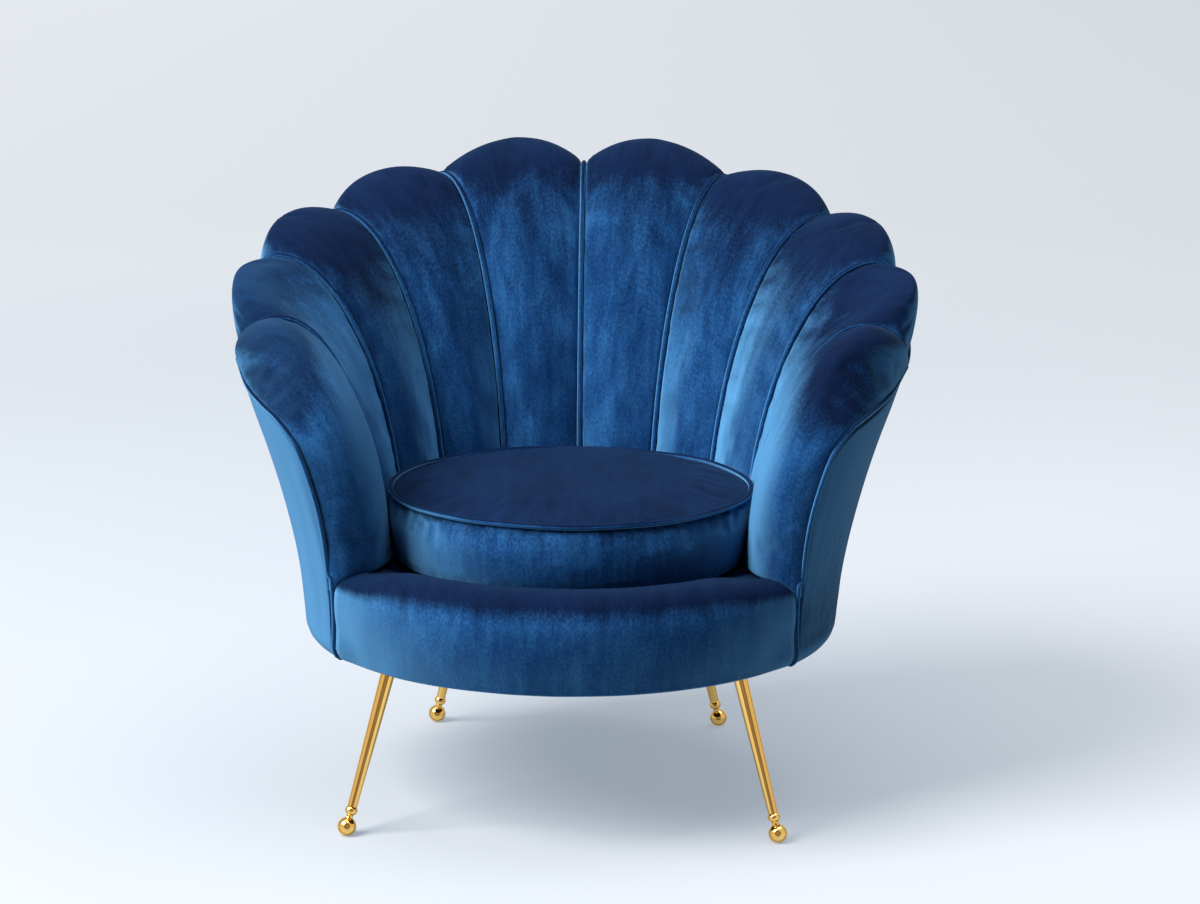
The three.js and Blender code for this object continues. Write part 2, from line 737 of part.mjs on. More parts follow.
// Upright plywood rib behind a seam, cut to the pads inside and to the cover outside
function ribSolid(line) {
  const depth = PAD_DEPTH + RIB_CLEAR;
  const trim = COVER_THICK + COVER_SLACK + HOOP_PLY + HOOP_CLEAR;
  const foot = BASE_TOP + GAP;
  const shape = new THREE.Shape();
  shape.moveTo(depth, foot);
  for (const share of rowShares) shape.lineTo(...inPlane(line, share, depth));
  for (const share of RIB_SHARES) {
    const height = lerp(line.welt - CORD_SETBACK, foot, share);
    shape.lineTo(line.reachAt(height, trim), height);
  }
  shape.closePath();
  const geometry = new THREE.ExtrudeGeometry(shape, { depth: RIB_PLY, bevelEnabled: false });
  geometry.translate(0, 0, -RIB_PLY / 2);
  const side = line.way.clone().cross(UP);
  geometry.applyMatrix4(new THREE.Matrix4().makeBasis(line.way, UP, side).setPosition(line.start));
  return finish(geometry);
}

// Bent hoop round the outside edges of the ribs
function hoopSolid() {
  const section = (angle) => {
    const corner = (height, trim) => around(angle, outerRadius(angle, height) - trim, height);
    const near = COVER_THICK + COVER_SLACK;
    const far = near + HOOP_PLY;
    const high = HOOP_LOW + HOOP_TALL;
    return [corner(HOOP_LOW, near), corner(high, near), corner(high, far), corner(HOOP_LOW, far)];
  };
  const outlines = [];
  for (let i = 0; i <= HOOP_STEPS; i += 1) {
    outlines.push(section(lerp(-HOOP_TURN, HOOP_TURN, i / HOOP_STEPS)));
  }
  const flat = [[0, 0], [1, 0], [1, 1], [0, 1]].map(([x, y]) => new THREE.Vector2(x, y));
  return sweep(outlines, flat);
}

// Upright post inside the front of an arm
function postSolid() {
  const geometry = new THREE.BoxGeometry(POST_WIDE, POST_DEEP, POST_TOP - BASE_TOP - GAP);
  geometry.rotateZ(-rad(POST_ANGLE));
  const middle = (POST_TOP + BASE_TOP + GAP) / 2;
  const place = around(POST_ANGLE, POST_RADIUS, middle);
  return finish(geometry.translate(...place));
}

// Straps to each side of the middle, in pitches
const STRAP_STEPS = [-1.5, -0.5, 0.5, 1.5];

// Woven webbing: one panel of crossed straps over the hole in the seat board
function webbingSolid() {
  const middle = SEAT_TOP + GAP + WEB_THICK / 2;
  let panel = null;
  for (const step of STRAP_STEPS) {
    const offset = step * WEB_PITCH;
    const reach = 2 * Math.sqrt(WEB_REACH ** 2 - (Math.abs(offset) + WEB_WIDE / 2) ** 2);
    const across = new THREE.BoxGeometry(reach, WEB_WIDE, WEB_THICK).translate(0, offset, middle);
    const along = new THREE.BoxGeometry(WEB_WIDE, reach, WEB_THICK).translate(offset, 0, middle);
    const cross = asManifold(weld(across)).add(asManifold(weld(along)));
    panel = panel ? panel.add(cross) : cross;
  }
  return fromManifold(panel);
}

// Disc of one height about the upright axis
function discSolid(radius, low, high) {
  const profile = [[0, low], [radius, low], [radius, high], [0, high]];
  return turned(profile);
}

// Solid of revolution about the upright axis, from radius and height pairs
function turned(profile, steps = ROUND_STEPS) {
  const points = profile.map(([radius, height]) => new THREE.Vector2(radius, height));
  return finish(new THREE.LatheGeometry(points, steps).rotateX(QUARTER));
}

// Each leg leans out from its bolt plate under the base board down to its ball foot
const PLATE_BOTTOM = BASE_TOP - BASE_PLY - GAP - PLATE_THICK;
const legs = [
  legFrom('front', FRONT_LEG, [-FRONT_SPLAY[0], FRONT_SPLAY[1]]),
  legFrom('rear', REAR_LEG, [-REAR_SPLAY[0], -REAR_SPLAY[1]]),
];

function legFrom(name, place, splay) {
  const drop = PLATE_BOTTOM - BALL_RADIUS + BALL_FLAT;
  const top = around(place.angle, BASE_RADIUS - place.inset, PLATE_BOTTOM);
  return { name, foot: [top.x - splay[0] * drop, top.y - splay[1] * drop], splay };
}

function legAxis(leg) {
  return new THREE.Vector3(leg.splay[0], leg.splay[1], 1).normalize();
}

function ballCentre(leg) {
  return new THREE.Vector3(leg.foot[0], leg.foot[1], BALL_RADIUS - BALL_FLAT);
}

function legTop(leg) {
  const axis = legAxis(leg);
  const centre = ballCentre(leg);
  return centre.addScaledVector(axis, (PLATE_BOTTOM - centre.z) / axis.z);
}

function dustCoverSolid() {
  const shape = new THREE.Shape().absarc(0, 0, BASE_RADIUS, 0, 2 * Math.PI);
  for (const leg of legs) {
    for (const side of [-1, 1]) {
      const top = legTop(leg);
      shape.holes.push(plateOutline(THREE.Path, side * top.x, top.y, PLATE_SLOT));
    }
  }
  return boardSolid(shape, DUST_THICK, BASE_TOP - BASE_PLY - GAP);
}

// Rounded plate outline about a point, long side across the radius, grown by a margin
function plateOutline(Kind, x, y, margin) {
  const outline = new Kind();
  const outward = new THREE.Vector2(x, y).normalize();
  const along = new THREE.Vector2(-outward.y, outward.x);
  const [deep, wide] = [PLATE_DEEP / 2 + margin, PLATE_WIDE / 2 + margin];
  const round = PLATE_CORNER;
  const corners = [[deep, wide], [-deep, wide], [-deep, -wide], [deep, -wide]];
  corners.forEach(([out, over], corner) => {
    for (const step of [0, 0.5, 1]) {
      const turn = (corner + step) * QUARTER;
      const centre = [out - Math.sign(out) * round, over - Math.sign(over) * round];
      const u = centre[0] + round * Math.cos(turn);
      const v = centre[1] + round * Math.sin(turn);
      const point = [x + u * outward.x + v * along.x, y + u * outward.y + v * along.y];
      if (corner === 0 && step === 0) outline.moveTo(...point);
      else outline.lineTo(...point);
    }
  });
  outline.closePath();
  return outline;
}

function plateSolid(leg) {
  const top = legTop(leg);
  return boardSolid(plateOutline(THREE.Shape, top.x, top.y, 0), PLATE_THICK, PLATE_BOTTOM + PLATE_THICK);
}

function asManifold(geometry) {
  return new wasm.Manifold(new wasm.Mesh({
    numProp: 3,
    vertProperties: new Float32Array(geometry.attributes.position.array),
    triVerts: new Uint32Array(geometry.index.array),
  }));
}

function fromManifold(manifold) {
  const mesh = manifold.getMesh();
  const geometry = new THREE.BufferGeometry();
  geometry.setAttribute('position', new THREE.Float32BufferAttribute(mesh.vertProperties, 3));
  geometry.setIndex([...mesh.triVerts]);
  geometry.computeVertexNormals();
  return geometry;
}

// Cuts a box away from a solid
function cutBox(geometry, size, centre) {
  const box = weld(new THREE.BoxGeometry(size, size, size).translate(...centre));
  return fromManifold(asManifold(geometry).subtract(asManifold(box)));
}

// Stands a turned solid on the leg's axis, measured from the ball's centre
function onLeg(geometry, leg) {
  const stand = new THREE.Quaternion().setFromUnitVectors(UP, legAxis(leg));
  return geometry.applyQuaternion(stand).translate(...ballCentre(leg));
}

function ballFootSolid(leg) {
  const profile = [[0, -BALL_RADIUS]];
  const neck = Math.sqrt(BALL_RADIUS ** 2 - NECK_RADIUS ** 2);
  const neckTurn = Math.asin(neck / BALL_RADIUS);
  for (let i = 1; i <= BALL_STEPS; i += 1) {
    const turn = lerp(-QUARTER, neckTurn, i / BALL_STEPS);
    profile.push([BALL_RADIUS * Math.cos(turn), BALL_RADIUS * Math.sin(turn)]);
  }
  const low = neck + NECK_LONG;
  profile.push([NECK_RADIUS, low]);
  for (const share of BEAD_ROW_SHARES) {
    const swell = Math.sin(share * Math.PI) ** 0.5;
    profile.push([lerp(LEG_FOOT_RADIUS, BEAD_RADIUS, swell), low + share * BEAD_LONG]);
  }
  profile.push([0, low + BEAD_LONG * 0.95]);
  const whole = onLeg(turned(profile, LEG_SIDES), leg);
  const room = BALL_ROOM_SHARE * BALL_RADIUS;
  return cutBox(whole, room, [leg.foot[0], leg.foot[1], -room / 2]);
}

function legTubeSolid(leg) {
  const neck = Math.sqrt(BALL_RADIUS ** 2 - NECK_RADIUS ** 2);
  const low = neck + NECK_LONG + BEAD_LONG + GAP;
  const high = legTop(leg).distanceTo(ballCentre(leg)) + 2 * LEG_TOP_RADIUS;
  const profile = [[0, low], [LEG_FOOT_RADIUS, low], [LEG_TOP_RADIUS, high], [0, high]];
  const whole = onLeg(turned(profile, LEG_SIDES), leg);
  const room = 2 * high;
  return cutBox(whole, room, [leg.foot[0], leg.foot[1], PLATE_BOTTOM - GAP + room / 2]);
}

// Radius of the cushion's side and height of its top
function cushionSide(height) {
  const share = (height - CUSHION_BOTTOM) / (CUSHION_WELT - CUSHION_BOTTOM);
  return lerp(CUSHION_FOOT_RADIUS, CUSHION_RADIUS, share) + CUSHION_BULGE * Math.sin(Math.PI * share);
}

function cushionTop(radius) {
  return CUSHION_WELT + CUSHION_CROWN * (1 - (radius / CUSHION_RADIUS) ** CROWN_POWER);
}

function cushionPieces() {
  const weltEdge = CUSHION_RADIUS - CORD_RADIUS - GAP;
  const bandTop = CUSHION_WELT - CORD_RADIUS - GAP;
  const bandLow = CUSHION_BOTTOM + CLOTH_THICK + GAP;
  const tops = [0, 0.25, 0.5, 0.72, 0.88, 1].map((share) => share * weltEdge);
  const sides = [0, 0.25, 0.5, 0.75, 1].map((share) => lerp(bandLow, bandTop, share));
  const topPanel = [
    ...tops.map((radius) => [radius, cushionTop(radius)]),
    ...tops.toReversed().map((radius) => [radius, cushionTop(radius) - CLOTH_THICK]),
  ];
  const bandRim = sides.map((height) => [cushionSide(height), height]);
  const band = [...bandRim, ...bandRim.toReversed().map(([r, z]) => [r - CLOTH_THICK, z])];
  band.push(band[0]);
  const trim = CLOTH_THICK + GAP;
  const foam = [
    [0, bandLow],
    ...bandRim.map(([r, z]) => [r - trim, z]),
    ...tops.toReversed().map((radius) => [Math.min(radius, weltEdge - trim), cushionTop(radius) - trim]),
  ];
  const cord = [];
  for (let i = 0; i <= CORD_SIDES; i += 1) {
    const turn = (i / CORD_SIDES) * 2 * Math.PI;
    cord.push([CUSHION_RADIUS + CORD_RADIUS * Math.cos(turn), CUSHION_WELT + CORD_RADIUS * Math.sin(turn)]);
  }
  cord[CORD_SIDES] = cord[0];
  return {
    cushion_foam_core: [turned(foam), FOAM],
    cushion_top_panel: [turned(topPanel), VELVET],
    cushion_boxing_band: [turned(band), VELVET],
    cushion_bottom_panel: [discSolid(CUSHION_FOOT_RADIUS, CUSHION_BOTTOM, CUSHION_BOTTOM + CLOTH_THICK), VELVET],
    cushion_welt: [turned(cord), PIPING],
  };
}

// Adds a piece of the right arm side and its mirror image on the left
function addPair(name, geometry, look) {
  addPiece(`${name}_right`, geometry, look);
  addPiece(`${name}_left`, mirrored(geometry), look);
}

const padNames = ['back_pad_inner', 'back_pad_outer', 'shoulder_pad', 'side_pad'];
padNames.forEach((name, pad) => addPair(name, padSolid(pad), VELVET));
addPair('arm_front_pad', armPadSolid(), VELVET);

addPiece('seam_piping_centre', seamCordSolid(seamLines[0]), PIPING);
addPiece('frame_rib_centre', ribSolid(seamLines[0]), PLYWOOD);
seamLines.slice(1).forEach((line, i) => {
  addPair(`seam_piping_${i + 1}`, seamCordSolid(line), PIPING);
  addPair(`frame_rib_${i + 1}`, ribSolid(line), PLYWOOD);
});

addPiece('outside_cover', coverSolid(), VELVET);
addPiece('outside_edge_piping', edgeCordSolid(), PIPING);
addPiece('front_border', borderSolid(), VELVET);

addPiece('base_board', baseBoardSolid(), PLYWOOD);
addPiece('seat_board', seatBoardSolid(), PLYWOOD);
addPiece('front_rail', railSolid(), PLYWOOD);
addPiece('back_hoop', hoopSolid(), PLYWOOD);
addPair('arm_post', postSolid(), PLYWOOD);
addPiece('seat_webbing', webbingSolid(), WEBBING);
addPiece('deck_pad', discSolid(BORDER_LIP_RADIUS - FACET_GAP, SEAT_TOP + 2 * GAP + WEB_THICK, DECK_TOP), VELVET);
addPiece('dust_cover', dustCoverSolid(), DUST_CLOTH);

for (const [name, [geometry, look]] of Object.entries(cushionPieces())) {
  const shape = geometry.translate(0, -CUSHION_FORWARD, 0);
  addPiece(name, shape, look);
}

for (const leg of legs) {
  addPair(`${leg.name}_leg_tube`, legTubeSolid(leg), BRASS);
  addPair(`${leg.name}_ball_foot`, ballFootSolid(leg), BRASS);
  addPair(`${leg.name}_leg_plate`, plateSolid(leg), STEEL);
}

// The origin sits on the floor under the middle of the overall box
const bounds = new THREE.Box3().setFromObject(chair);
const middle = bounds.getCenter(new THREE.Vector3());
for (const mesh of chair.children) mesh.geometry.translate(0, -middle.y, 0);

export default chair;
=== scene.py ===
# Dresses the scallop back armchair: velvet channel pads, piping, round cushion,
# outside cover, polished brass legs, and the plain studio that it stands in.
# Metres throughout. The forms follow the same seam lines as the frame's solids.
import bisect
import json
import math

import bmesh
import bpy
from mathutils import Matrix, Vector, noise

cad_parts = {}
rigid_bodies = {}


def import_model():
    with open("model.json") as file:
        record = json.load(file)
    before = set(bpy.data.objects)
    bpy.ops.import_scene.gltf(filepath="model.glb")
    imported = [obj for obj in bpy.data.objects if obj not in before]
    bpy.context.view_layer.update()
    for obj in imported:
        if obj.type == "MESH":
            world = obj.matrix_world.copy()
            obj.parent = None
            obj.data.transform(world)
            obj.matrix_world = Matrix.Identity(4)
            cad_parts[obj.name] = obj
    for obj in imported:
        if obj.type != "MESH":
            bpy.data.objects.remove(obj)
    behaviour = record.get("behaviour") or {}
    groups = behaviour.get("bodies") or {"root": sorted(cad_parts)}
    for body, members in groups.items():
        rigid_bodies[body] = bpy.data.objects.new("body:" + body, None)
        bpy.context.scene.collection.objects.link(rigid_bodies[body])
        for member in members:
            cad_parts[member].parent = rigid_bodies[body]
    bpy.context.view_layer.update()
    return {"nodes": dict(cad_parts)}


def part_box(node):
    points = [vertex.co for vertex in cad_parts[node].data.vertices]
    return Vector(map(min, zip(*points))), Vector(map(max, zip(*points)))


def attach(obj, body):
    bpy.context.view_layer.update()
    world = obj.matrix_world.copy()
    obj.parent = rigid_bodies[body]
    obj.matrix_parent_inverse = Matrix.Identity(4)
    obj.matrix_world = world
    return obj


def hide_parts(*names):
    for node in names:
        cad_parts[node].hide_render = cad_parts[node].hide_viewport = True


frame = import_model()
SCENE = bpy.context.scene

# Middle of the round base, which the seams and the shell are measured from
BASE_LOW, BASE_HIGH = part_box("base_board")
CENTRE_Y = (BASE_LOW[1] + BASE_HIGH[1]) / 2

# Sizes
WELL_RADIUS = 0.243
DECK_TOP = 0.3097
PAD_START = 0.310
PAD_DEPTH = 0.028
WALL_SHARE = 0.6
LEAN_SHARE = 0.1
END_DEPTH_SHARE = 0.5
END_CLEAR = 0.010
BULGE_POWER = 2.2
CROWN_INSET = 0.015
CROWN_SWELL = 0.010
CORD_RADIUS = 0.0028
PIPING_RADIUS = 0.0031
CORD_SETBACK = 0.0034

# Seam lines from the back centre to one arm: angle round the well, crest, outer end height
SEAMS = [
    (0.0, (0.000, 0.372, 0.770), 0.700),
    (24.0, (0.190, 0.343, 0.757), 0.690),
    (46.5, (0.327, 0.262, 0.715), 0.645),
    (69.0, (0.392, 0.125, 0.673), 0.605),
    (91.0, (0.373, -0.015, 0.612), 0.562),
]
# Crown lines along the middle of the four pads on each side of the back centre
CROWNS = [
    (12.0, (0.096, 0.385, 0.801), 0.700),
    (35.5, (0.283, 0.325, 0.760), 0.672),
    (58.0, (0.391, 0.200, 0.717), 0.627),
    (80.5, (0.438, 0.055, 0.655), 0.584),
]
# The arm pad's crown line, front edge (x and z) and core line
ARM_CROWN = [
    (0.232, -0.150, 0.322), (0.234, -0.161, 0.380), (0.241, -0.168, 0.440),
    (0.259, -0.172, 0.499), (0.289, -0.165, 0.555), (0.325, -0.146, 0.598),
    (0.362, -0.122, 0.616), (0.398, -0.098, 0.609), (0.421, -0.070, 0.590),
    (0.4275, -0.028, 0.567),
]
ARM_EDGE = [
    (0.2945, 0.322), (0.298, 0.370), (0.303, 0.405), (0.310, 0.436), (0.3235, 0.480),
    (0.332, 0.4974), (0.352, 0.520), (0.374, 0.531), (0.400, 0.543), (0.426, 0.563),
]
ARM_CORE = [
    (0.300, -0.090, 0.322), (0.312, -0.098, 0.410), (0.345, -0.085, 0.500), (0.388, -0.045, 0.560),
]
ARM_DEPTH_SHARE = 0.25

SHELL_RADIUS = 0.344
SHELL_BOTTOM = 0.208
ROUND_HEIGHT = 0.022
ROUND_DEPTH = 0.014
FLARE_RISE = 0.360
BACK_FLARE = 0.055
ARM_FLARE = 0.095
FLARE_POWER = 1.65
FLARE_TURN = 80.0
COVER_THICK = 0.003

BORDER_TOP_ANGLE = 55.3
BORDER_FOOT_ANGLE = 58.3
BORDER_FACE = 0.350
BORDER_FACE_HEIGHT = 0.290
BORDER_CREST = 0.334
BORDER_CREST_RADIUS = 0.312
BORDER_LIP_RADIUS = 0.264
BORDER_LIP = 0.318
BORDER_FOOT = 0.332

CUSHION_Y = -0.0145
CUSHION_RADIUS = 0.2325
CUSHION_FOOT_RADIUS = 0.219
CUSHION_WELT = 0.397
CUSHION_CROWN = 0.018
CROWN_POWER = 2.4

QUARTER = math.pi / 2
UP = Vector((0, 0, 1))


# Shell, seams and pads, as the frame's solids have them
def lerp(a, b, share):
    return a + (b - a) * share


def smooth_step(value):
    value = min(max(value, 0.0), 1.0)
    return value * value * (3 - 2 * value)


def ripple(*place):
    return noise.noise(Vector(place))


def arc(start, stop, steps, upright=False):
    """Quarter of an ellipse between two radius and height pairs, level or upright at its start."""
    points = []
    for i in range(1, steps + 1):
        turn = i / steps * QUARTER
        shares = math.sin(turn), 1 - math.cos(turn)
        across, up = reversed(shares) if upright else shares
        points.append((lerp(start[0], stop[0], across), lerp(start[1], stop[1], up)))
    return points


def outer_radius(angle, height):
    low = SHELL_BOTTOM + ROUND_HEIGHT
    if height < low:
        drop = min((low - height) / ROUND_HEIGHT, 1.0)
        return SHELL_RADIUS - ROUND_DEPTH * (1 - math.sqrt(1 - drop * drop))
    flare = lerp(BACK_FLARE, ARM_FLARE, smooth_step(abs(angle) / FLARE_TURN))
    return SHELL_RADIUS + flare * ((height - low) / FLARE_RISE) ** FLARE_POWER


def around(angle, radius, height):
    turn = math.radians(angle)
    return Vector((radius * math.sin(turn), radius * math.cos(turn), height))


def angle_of(point):
    return math.degrees(math.atan2(point.x, point.y))


class Line:
    """A seam or crown line in its own upright plane."""

    def __init__(self, angle, crest, welt, inset=0.0, swell=0.0):
        self.start = around(angle, WELL_RADIUS - inset, 0)
        self.way = Vector((crest[0], crest[1], 0)) - self.start
        self.run = self.way.length
        self.way.normalize()
        self.top = crest[2]
        self.end = welt + CORD_SETBACK
        self.swell = swell
        outer = outer_radius(angle_of(Vector(crest)), welt)
        along = self.start.dot(self.way)
        self.reach = math.sqrt(along**2 - self.start.length_squared + outer**2) - along
        self.side = self.way.cross(UP)

    def point(self, share, depth=0.0):
        top = self.top - depth
        room = max(END_DEPTH_SHARE * (self.reach - self.run), END_CLEAR)
        end_depth = min(depth, room + max(depth - PAD_DEPTH, 0))
        if share <= WALL_SHARE:
            turn = share / WALL_SHARE * QUARTER
            out = (1 - LEAN_SHARE) * (1 - math.cos(turn)) + LEAN_SHARE * math.sin(turn)
            far, height = lerp(depth, self.run, out), lerp(PAD_START, top, math.sin(turn))
        else:
            turn = (share - WALL_SHARE) / (1 - WALL_SHARE) * QUARTER
            swell = 0.0 if depth > 0 else self.swell * math.sin(2 * turn)
            far = lerp(self.run, self.reach - end_depth, math.sin(turn)) + swell
            height = lerp(self.end, top, math.cos(turn))
        place = self.start + self.way * far
        place.z = height
        return place

    def away(self, point):
        return abs((point - self.start).dot(self.side))


class Curve:
    """Smooth line through given points, read by share of its length."""

    def __init__(self, points, steps=40):
        knots = [2 * points[0] - points[1], *points, 2 * points[-1] - points[-2]]
        self.path = []
        for i in range(1, len(knots) - 2):
            for k in range(steps):
                self.path.append(self.blend(knots[i - 1 : i + 3], k / steps))
        self.path.append(points[-1].copy())
        self.lengths = [0.0]
        for a, b in zip(self.path, self.path[1:]):
            self.lengths.append(self.lengths[-1] + (b - a).length)

    @staticmethod
    def blend(p, share):
        gaps = [max((p[k + 1] - p[k]).length ** 0.5, 1e-6) for k in range(3)]
        out = Vector()
        for axis in range(3):
            a, b, c, d = (q[axis] for q in p)
            t1 = (b - a) / gaps[0] - (c - a) / (gaps[0] + gaps[1]) + (c - b) / gaps[1]
            t2 = (c - b) / gaps[1] - (d - b) / (gaps[1] + gaps[2]) + (d - c) / gaps[2]
            t1, t2 = t1 * gaps[1], t2 * gaps[1]
            out[axis] = (
                b
                + t1 * share
                + (-3 * b + 3 * c - 2 * t1 - t2) * share**2
                + (2 * b - 2 * c + t1 + t2) * share**3
            )
        return out

    def point(self, share):
        goal = share * self.lengths[-1]
        low = min(bisect.bisect_right(self.lengths, goal), len(self.lengths) - 1) - 1
        span = self.lengths[low + 1] - self.lengths[low]
        return self.path[low].lerp(self.path[low + 1], (goal - self.lengths[low]) / span)


seams = [Line(*line) for line in SEAMS]
crowns = [Line(*line, CROWN_INSET, CROWN_SWELL) for line in CROWNS]
arm_crown = Curve([Vector(p) for p in ARM_CROWN])
arm_core = Curve([Vector(p) for p in ARM_CORE])
arm_edge = Curve(
    [Vector((x, -math.sqrt(outer_radius(FLARE_TURN, z) ** 2 - x * x), z)) for x, z in ARM_EDGE]
)


def arched(left, middle, right, across):
    rise = 1 - abs(2 * across - 1) ** BULGE_POWER
    mean = left.lerp(right, 0.5)
    return left.lerp(right, across) + (middle - mean) * rise


def pad_face(pad, across, share):
    return arched(seams[pad].point(share), crowns[pad].point(share), seams[pad + 1].point(share), across)


def arm_face(across, share):
    return arched(seams[-1].point(share), arm_crown.point(share), arm_edge.point(share), across)


def clear_of(face, away, from_right):
    """Share across a face at which it is just clear of the cord in its seam."""
    near, far = 0.0, 0.5
    for _ in range(18):
        middle = (near + far) / 2
        if away(face(1 - middle if from_right else middle)) < PAD_SETBACK:
            near = middle
        else:
            far = middle
    return 1 - far if from_right else far


BORDER_CORNER_HEIGHT = 0.298
BORDER_CORNER_CREST = 0.323


def border_surface(radius):
    """Height of the border's top beside an arm, at a radius."""
    out = min(max((radius - BORDER_CREST_RADIUS) / (BORDER_FACE - BORDER_CREST_RADIUS), 0), 1)
    return lerp(BORDER_CORNER_HEIGHT, BORDER_CORNER_CREST, math.sqrt(1 - out * out))


# Mesh helpers
def linked(name, mesh):
    piece = bpy.data.objects.new(name, mesh)
    SCENE.collection.objects.link(piece)
    return piece


def piece_from(build, name):
    """Object from a finished bmesh."""
    mesh = bpy.data.meshes.new(name)
    build.to_mesh(mesh)
    build.free()
    return linked(name, mesh)


def closed_piece(name, points, faces, uvs):
    """Smooth closed object from points measured from the base's middle, facing outwards."""
    mesh = bpy.data.meshes.new(name)
    mesh.from_pydata([(p.x, p.y + CENTRE_Y, p.z) for p in points], [], faces)
    layer = mesh.uv_layers.new(name="nap")
    for loop in mesh.loops:
        layer.data[loop.index].uv = uvs[loop.vertex_index]
    mesh.shade_smooth()
    build = bmesh.new()
    build.from_mesh(mesh)
    bmesh.ops.recalc_face_normals(build, faces=build.faces)
    if build.calc_volume(signed=True) < 0:
        bmesh.ops.reverse_faces(build, faces=build.faces)
    build.to_mesh(mesh)
    build.free()
    return linked(name, mesh)


def grid_uvs(rows):
    """Flat sizes of a grid of points, so that the nap runs along the piece."""
    uvs = []
    middle = len(rows[0]) // 2
    along = 0.0
    for r, row in enumerate(rows):
        if r:
            along += (row[middle] - rows[r - 1][middle]).length
        across = [0.0]
        for a, b in zip(row, row[1:]):
            across.append(across[-1] + (b - a).length)
        uvs.append([(value - across[middle], along) for value in across])
    return uvs


# Each piece is cut from its own place of the velvet
NAP_SHIFT = 0.37


def slab_piece(name, front, back, flat=grid_uvs):
    """Closed piece between a face grid and a back grid."""
    rows, cols = len(front), len(front[0])
    half = rows * cols
    faces = []
    for r in range(rows - 1):
        for c in range(cols - 1):
            low, high = r * cols + c, (r + 1) * cols + c
            faces.append((low, low + 1, high + 1, high))
            faces.append((half + low, half + high, half + high + 1, half + low + 1))
    for r in range(rows - 1):
        low, high = r * cols, (r + 1) * cols
        faces.append((low, high, half + high, half + low))
        low, high = low + cols - 1, high + cols - 1
        faces.append((low, half + low, half + high, high))
    for low in range(cols - 1):
        high = (rows - 1) * cols + low
        faces.append((low, half + low, half + low + 1, low + 1))
        faces.append((high, high + 1, half + high + 1, half + high))
    shift = NAP_SHIFT * len(SCENE.objects)
    uvs = [(across + shift, along) for row in flat(front) for across, along in row] * 2
    return closed_piece(name, [p for row in front + back for p in row], faces, uvs)


MIRROR_SHIFT = 11.3


def mirrored(piece, name):
    mesh = piece.data.copy()
    mesh.name = name
    mesh.transform(Matrix.Scale(-1, 4, (1, 0, 0)))
    mesh.flip_normals()
    for layer in mesh.uv_layers:
        for corner in layer.data:
            corner.uv.x += MIRROR_SHIFT
    return linked(name, mesh)


def ring_faces(rings, sides, closed=False):
    """Faces between rings of points, one ring after another."""
    faces = []
    for i in range(rings if closed else rings - 1):
        j = (i + 1) % rings
        for k in range(sides):
            n = (k + 1) % sides
            faces.append((i * sides + k, i * sides + n, j * sides + n, j * sides + k))
    return faces


CORD_SIDES = 10


def cord_piece(name, points, radius):
    """Round cord through points, closed at both ends."""
    rings, uvs = [], []
    along = 0.0
    normal = None
    for i, point in enumerate(points):
        before, after = points[max(i - 1, 0)], points[min(i + 1, len(points) - 1)]
        way = (after - before).normalized()
        if normal is None:
            normal = way.orthogonal().normalized()
        normal = (normal - way * normal.dot(way)).normalized()
        across = way.cross(normal)
        if i:
            along += (point - points[i - 1]).length
        for k in range(CORD_SIDES):
            turn = 2 * math.pi * k / CORD_SIDES
            rings.append(point + (normal * math.cos(turn) + across * math.sin(turn)) * radius)
            uvs.append((turn * radius, along))
    last = (len(points) - 1) * CORD_SIDES
    faces = ring_faces(len(points), CORD_SIDES)
    faces.append(tuple(range(CORD_SIDES - 1, -1, -1)))
    faces.append(tuple(range(last, last + CORD_SIDES)))
    return closed_piece(name, rings, faces, uvs)


# Velvet and the other finishes
def plug(tree, socket, value):
    """Joins another node's output to a socket, or sets the socket to a constant."""
    if isinstance(value, bpy.types.NodeSocket):
        tree.links.new(value, socket)
    else:
        socket.default_value = (*value, 1) if socket.type == "RGBA" else value


def feed(tree, node, **values):
    for name, value in values.items():
        plug(tree, node.inputs[name.replace("_", " ")], value)


def add(tree, kind, **values):
    node = tree.nodes.new("ShaderNode" + kind)
    feed(tree, node, **values)
    return node


def new_material(name):
    material = bpy.data.materials.new(name)
    material.use_nodes = True
    tree = material.node_tree
    tree.nodes.clear()
    shader = add(tree, "BsdfPrincipled")
    add(tree, "OutputMaterial", Surface=shader.outputs["BSDF"])
    return material, tree, shader


def object_place(tree):
    return add(tree, "TexCoord").outputs["Object"]


def facing_weight(tree):
    return add(tree, "LayerWeight", Blend=0.5).outputs["Facing"]


def noise_node(tree, place, stretch, detail, roughness=0.5, distortion=0.0, scale=1):
    """Noise over a place that is stretched on each axis."""
    vector = add(tree, "Mapping", Vector=place, Scale=stretch).outputs["Vector"]
    node = add(tree, "TexNoise", Vector=vector, Scale=scale, Detail=detail)
    feed(tree, node, Roughness=roughness, Distortion=distortion)
    return node.outputs["Fac"]


def ramp(tree, factor, *stops):
    node = add(tree, "ValToRGB", Fac=factor)
    elements = node.color_ramp.elements
    while len(elements) < len(stops):
        elements.new(0.5)
    for element, (place, colour) in zip(elements, stops):
        element.position = place
        element.color = (*colour, 1)
    return node.outputs["Color"]


def math_node(tree, operation, a, b, clamp=False):
    node = add(tree, "Math")
    node.operation = operation
    node.use_clamp = clamp
    plug(tree, node.inputs[0], a)
    plug(tree, node.inputs[1], b)
    return node.outputs["Value"]


def with_share(tree, value, share, other):
    """A value plus a share of another."""
    return math_node(tree, "ADD", value, math_node(tree, "MULTIPLY", other, share))


def bump(tree, shader, height, distance, strength):
    node = add(tree, "Bump", Height=height, Distance=distance, Strength=strength)
    feed(tree, shader, Normal=node.outputs["Normal"])


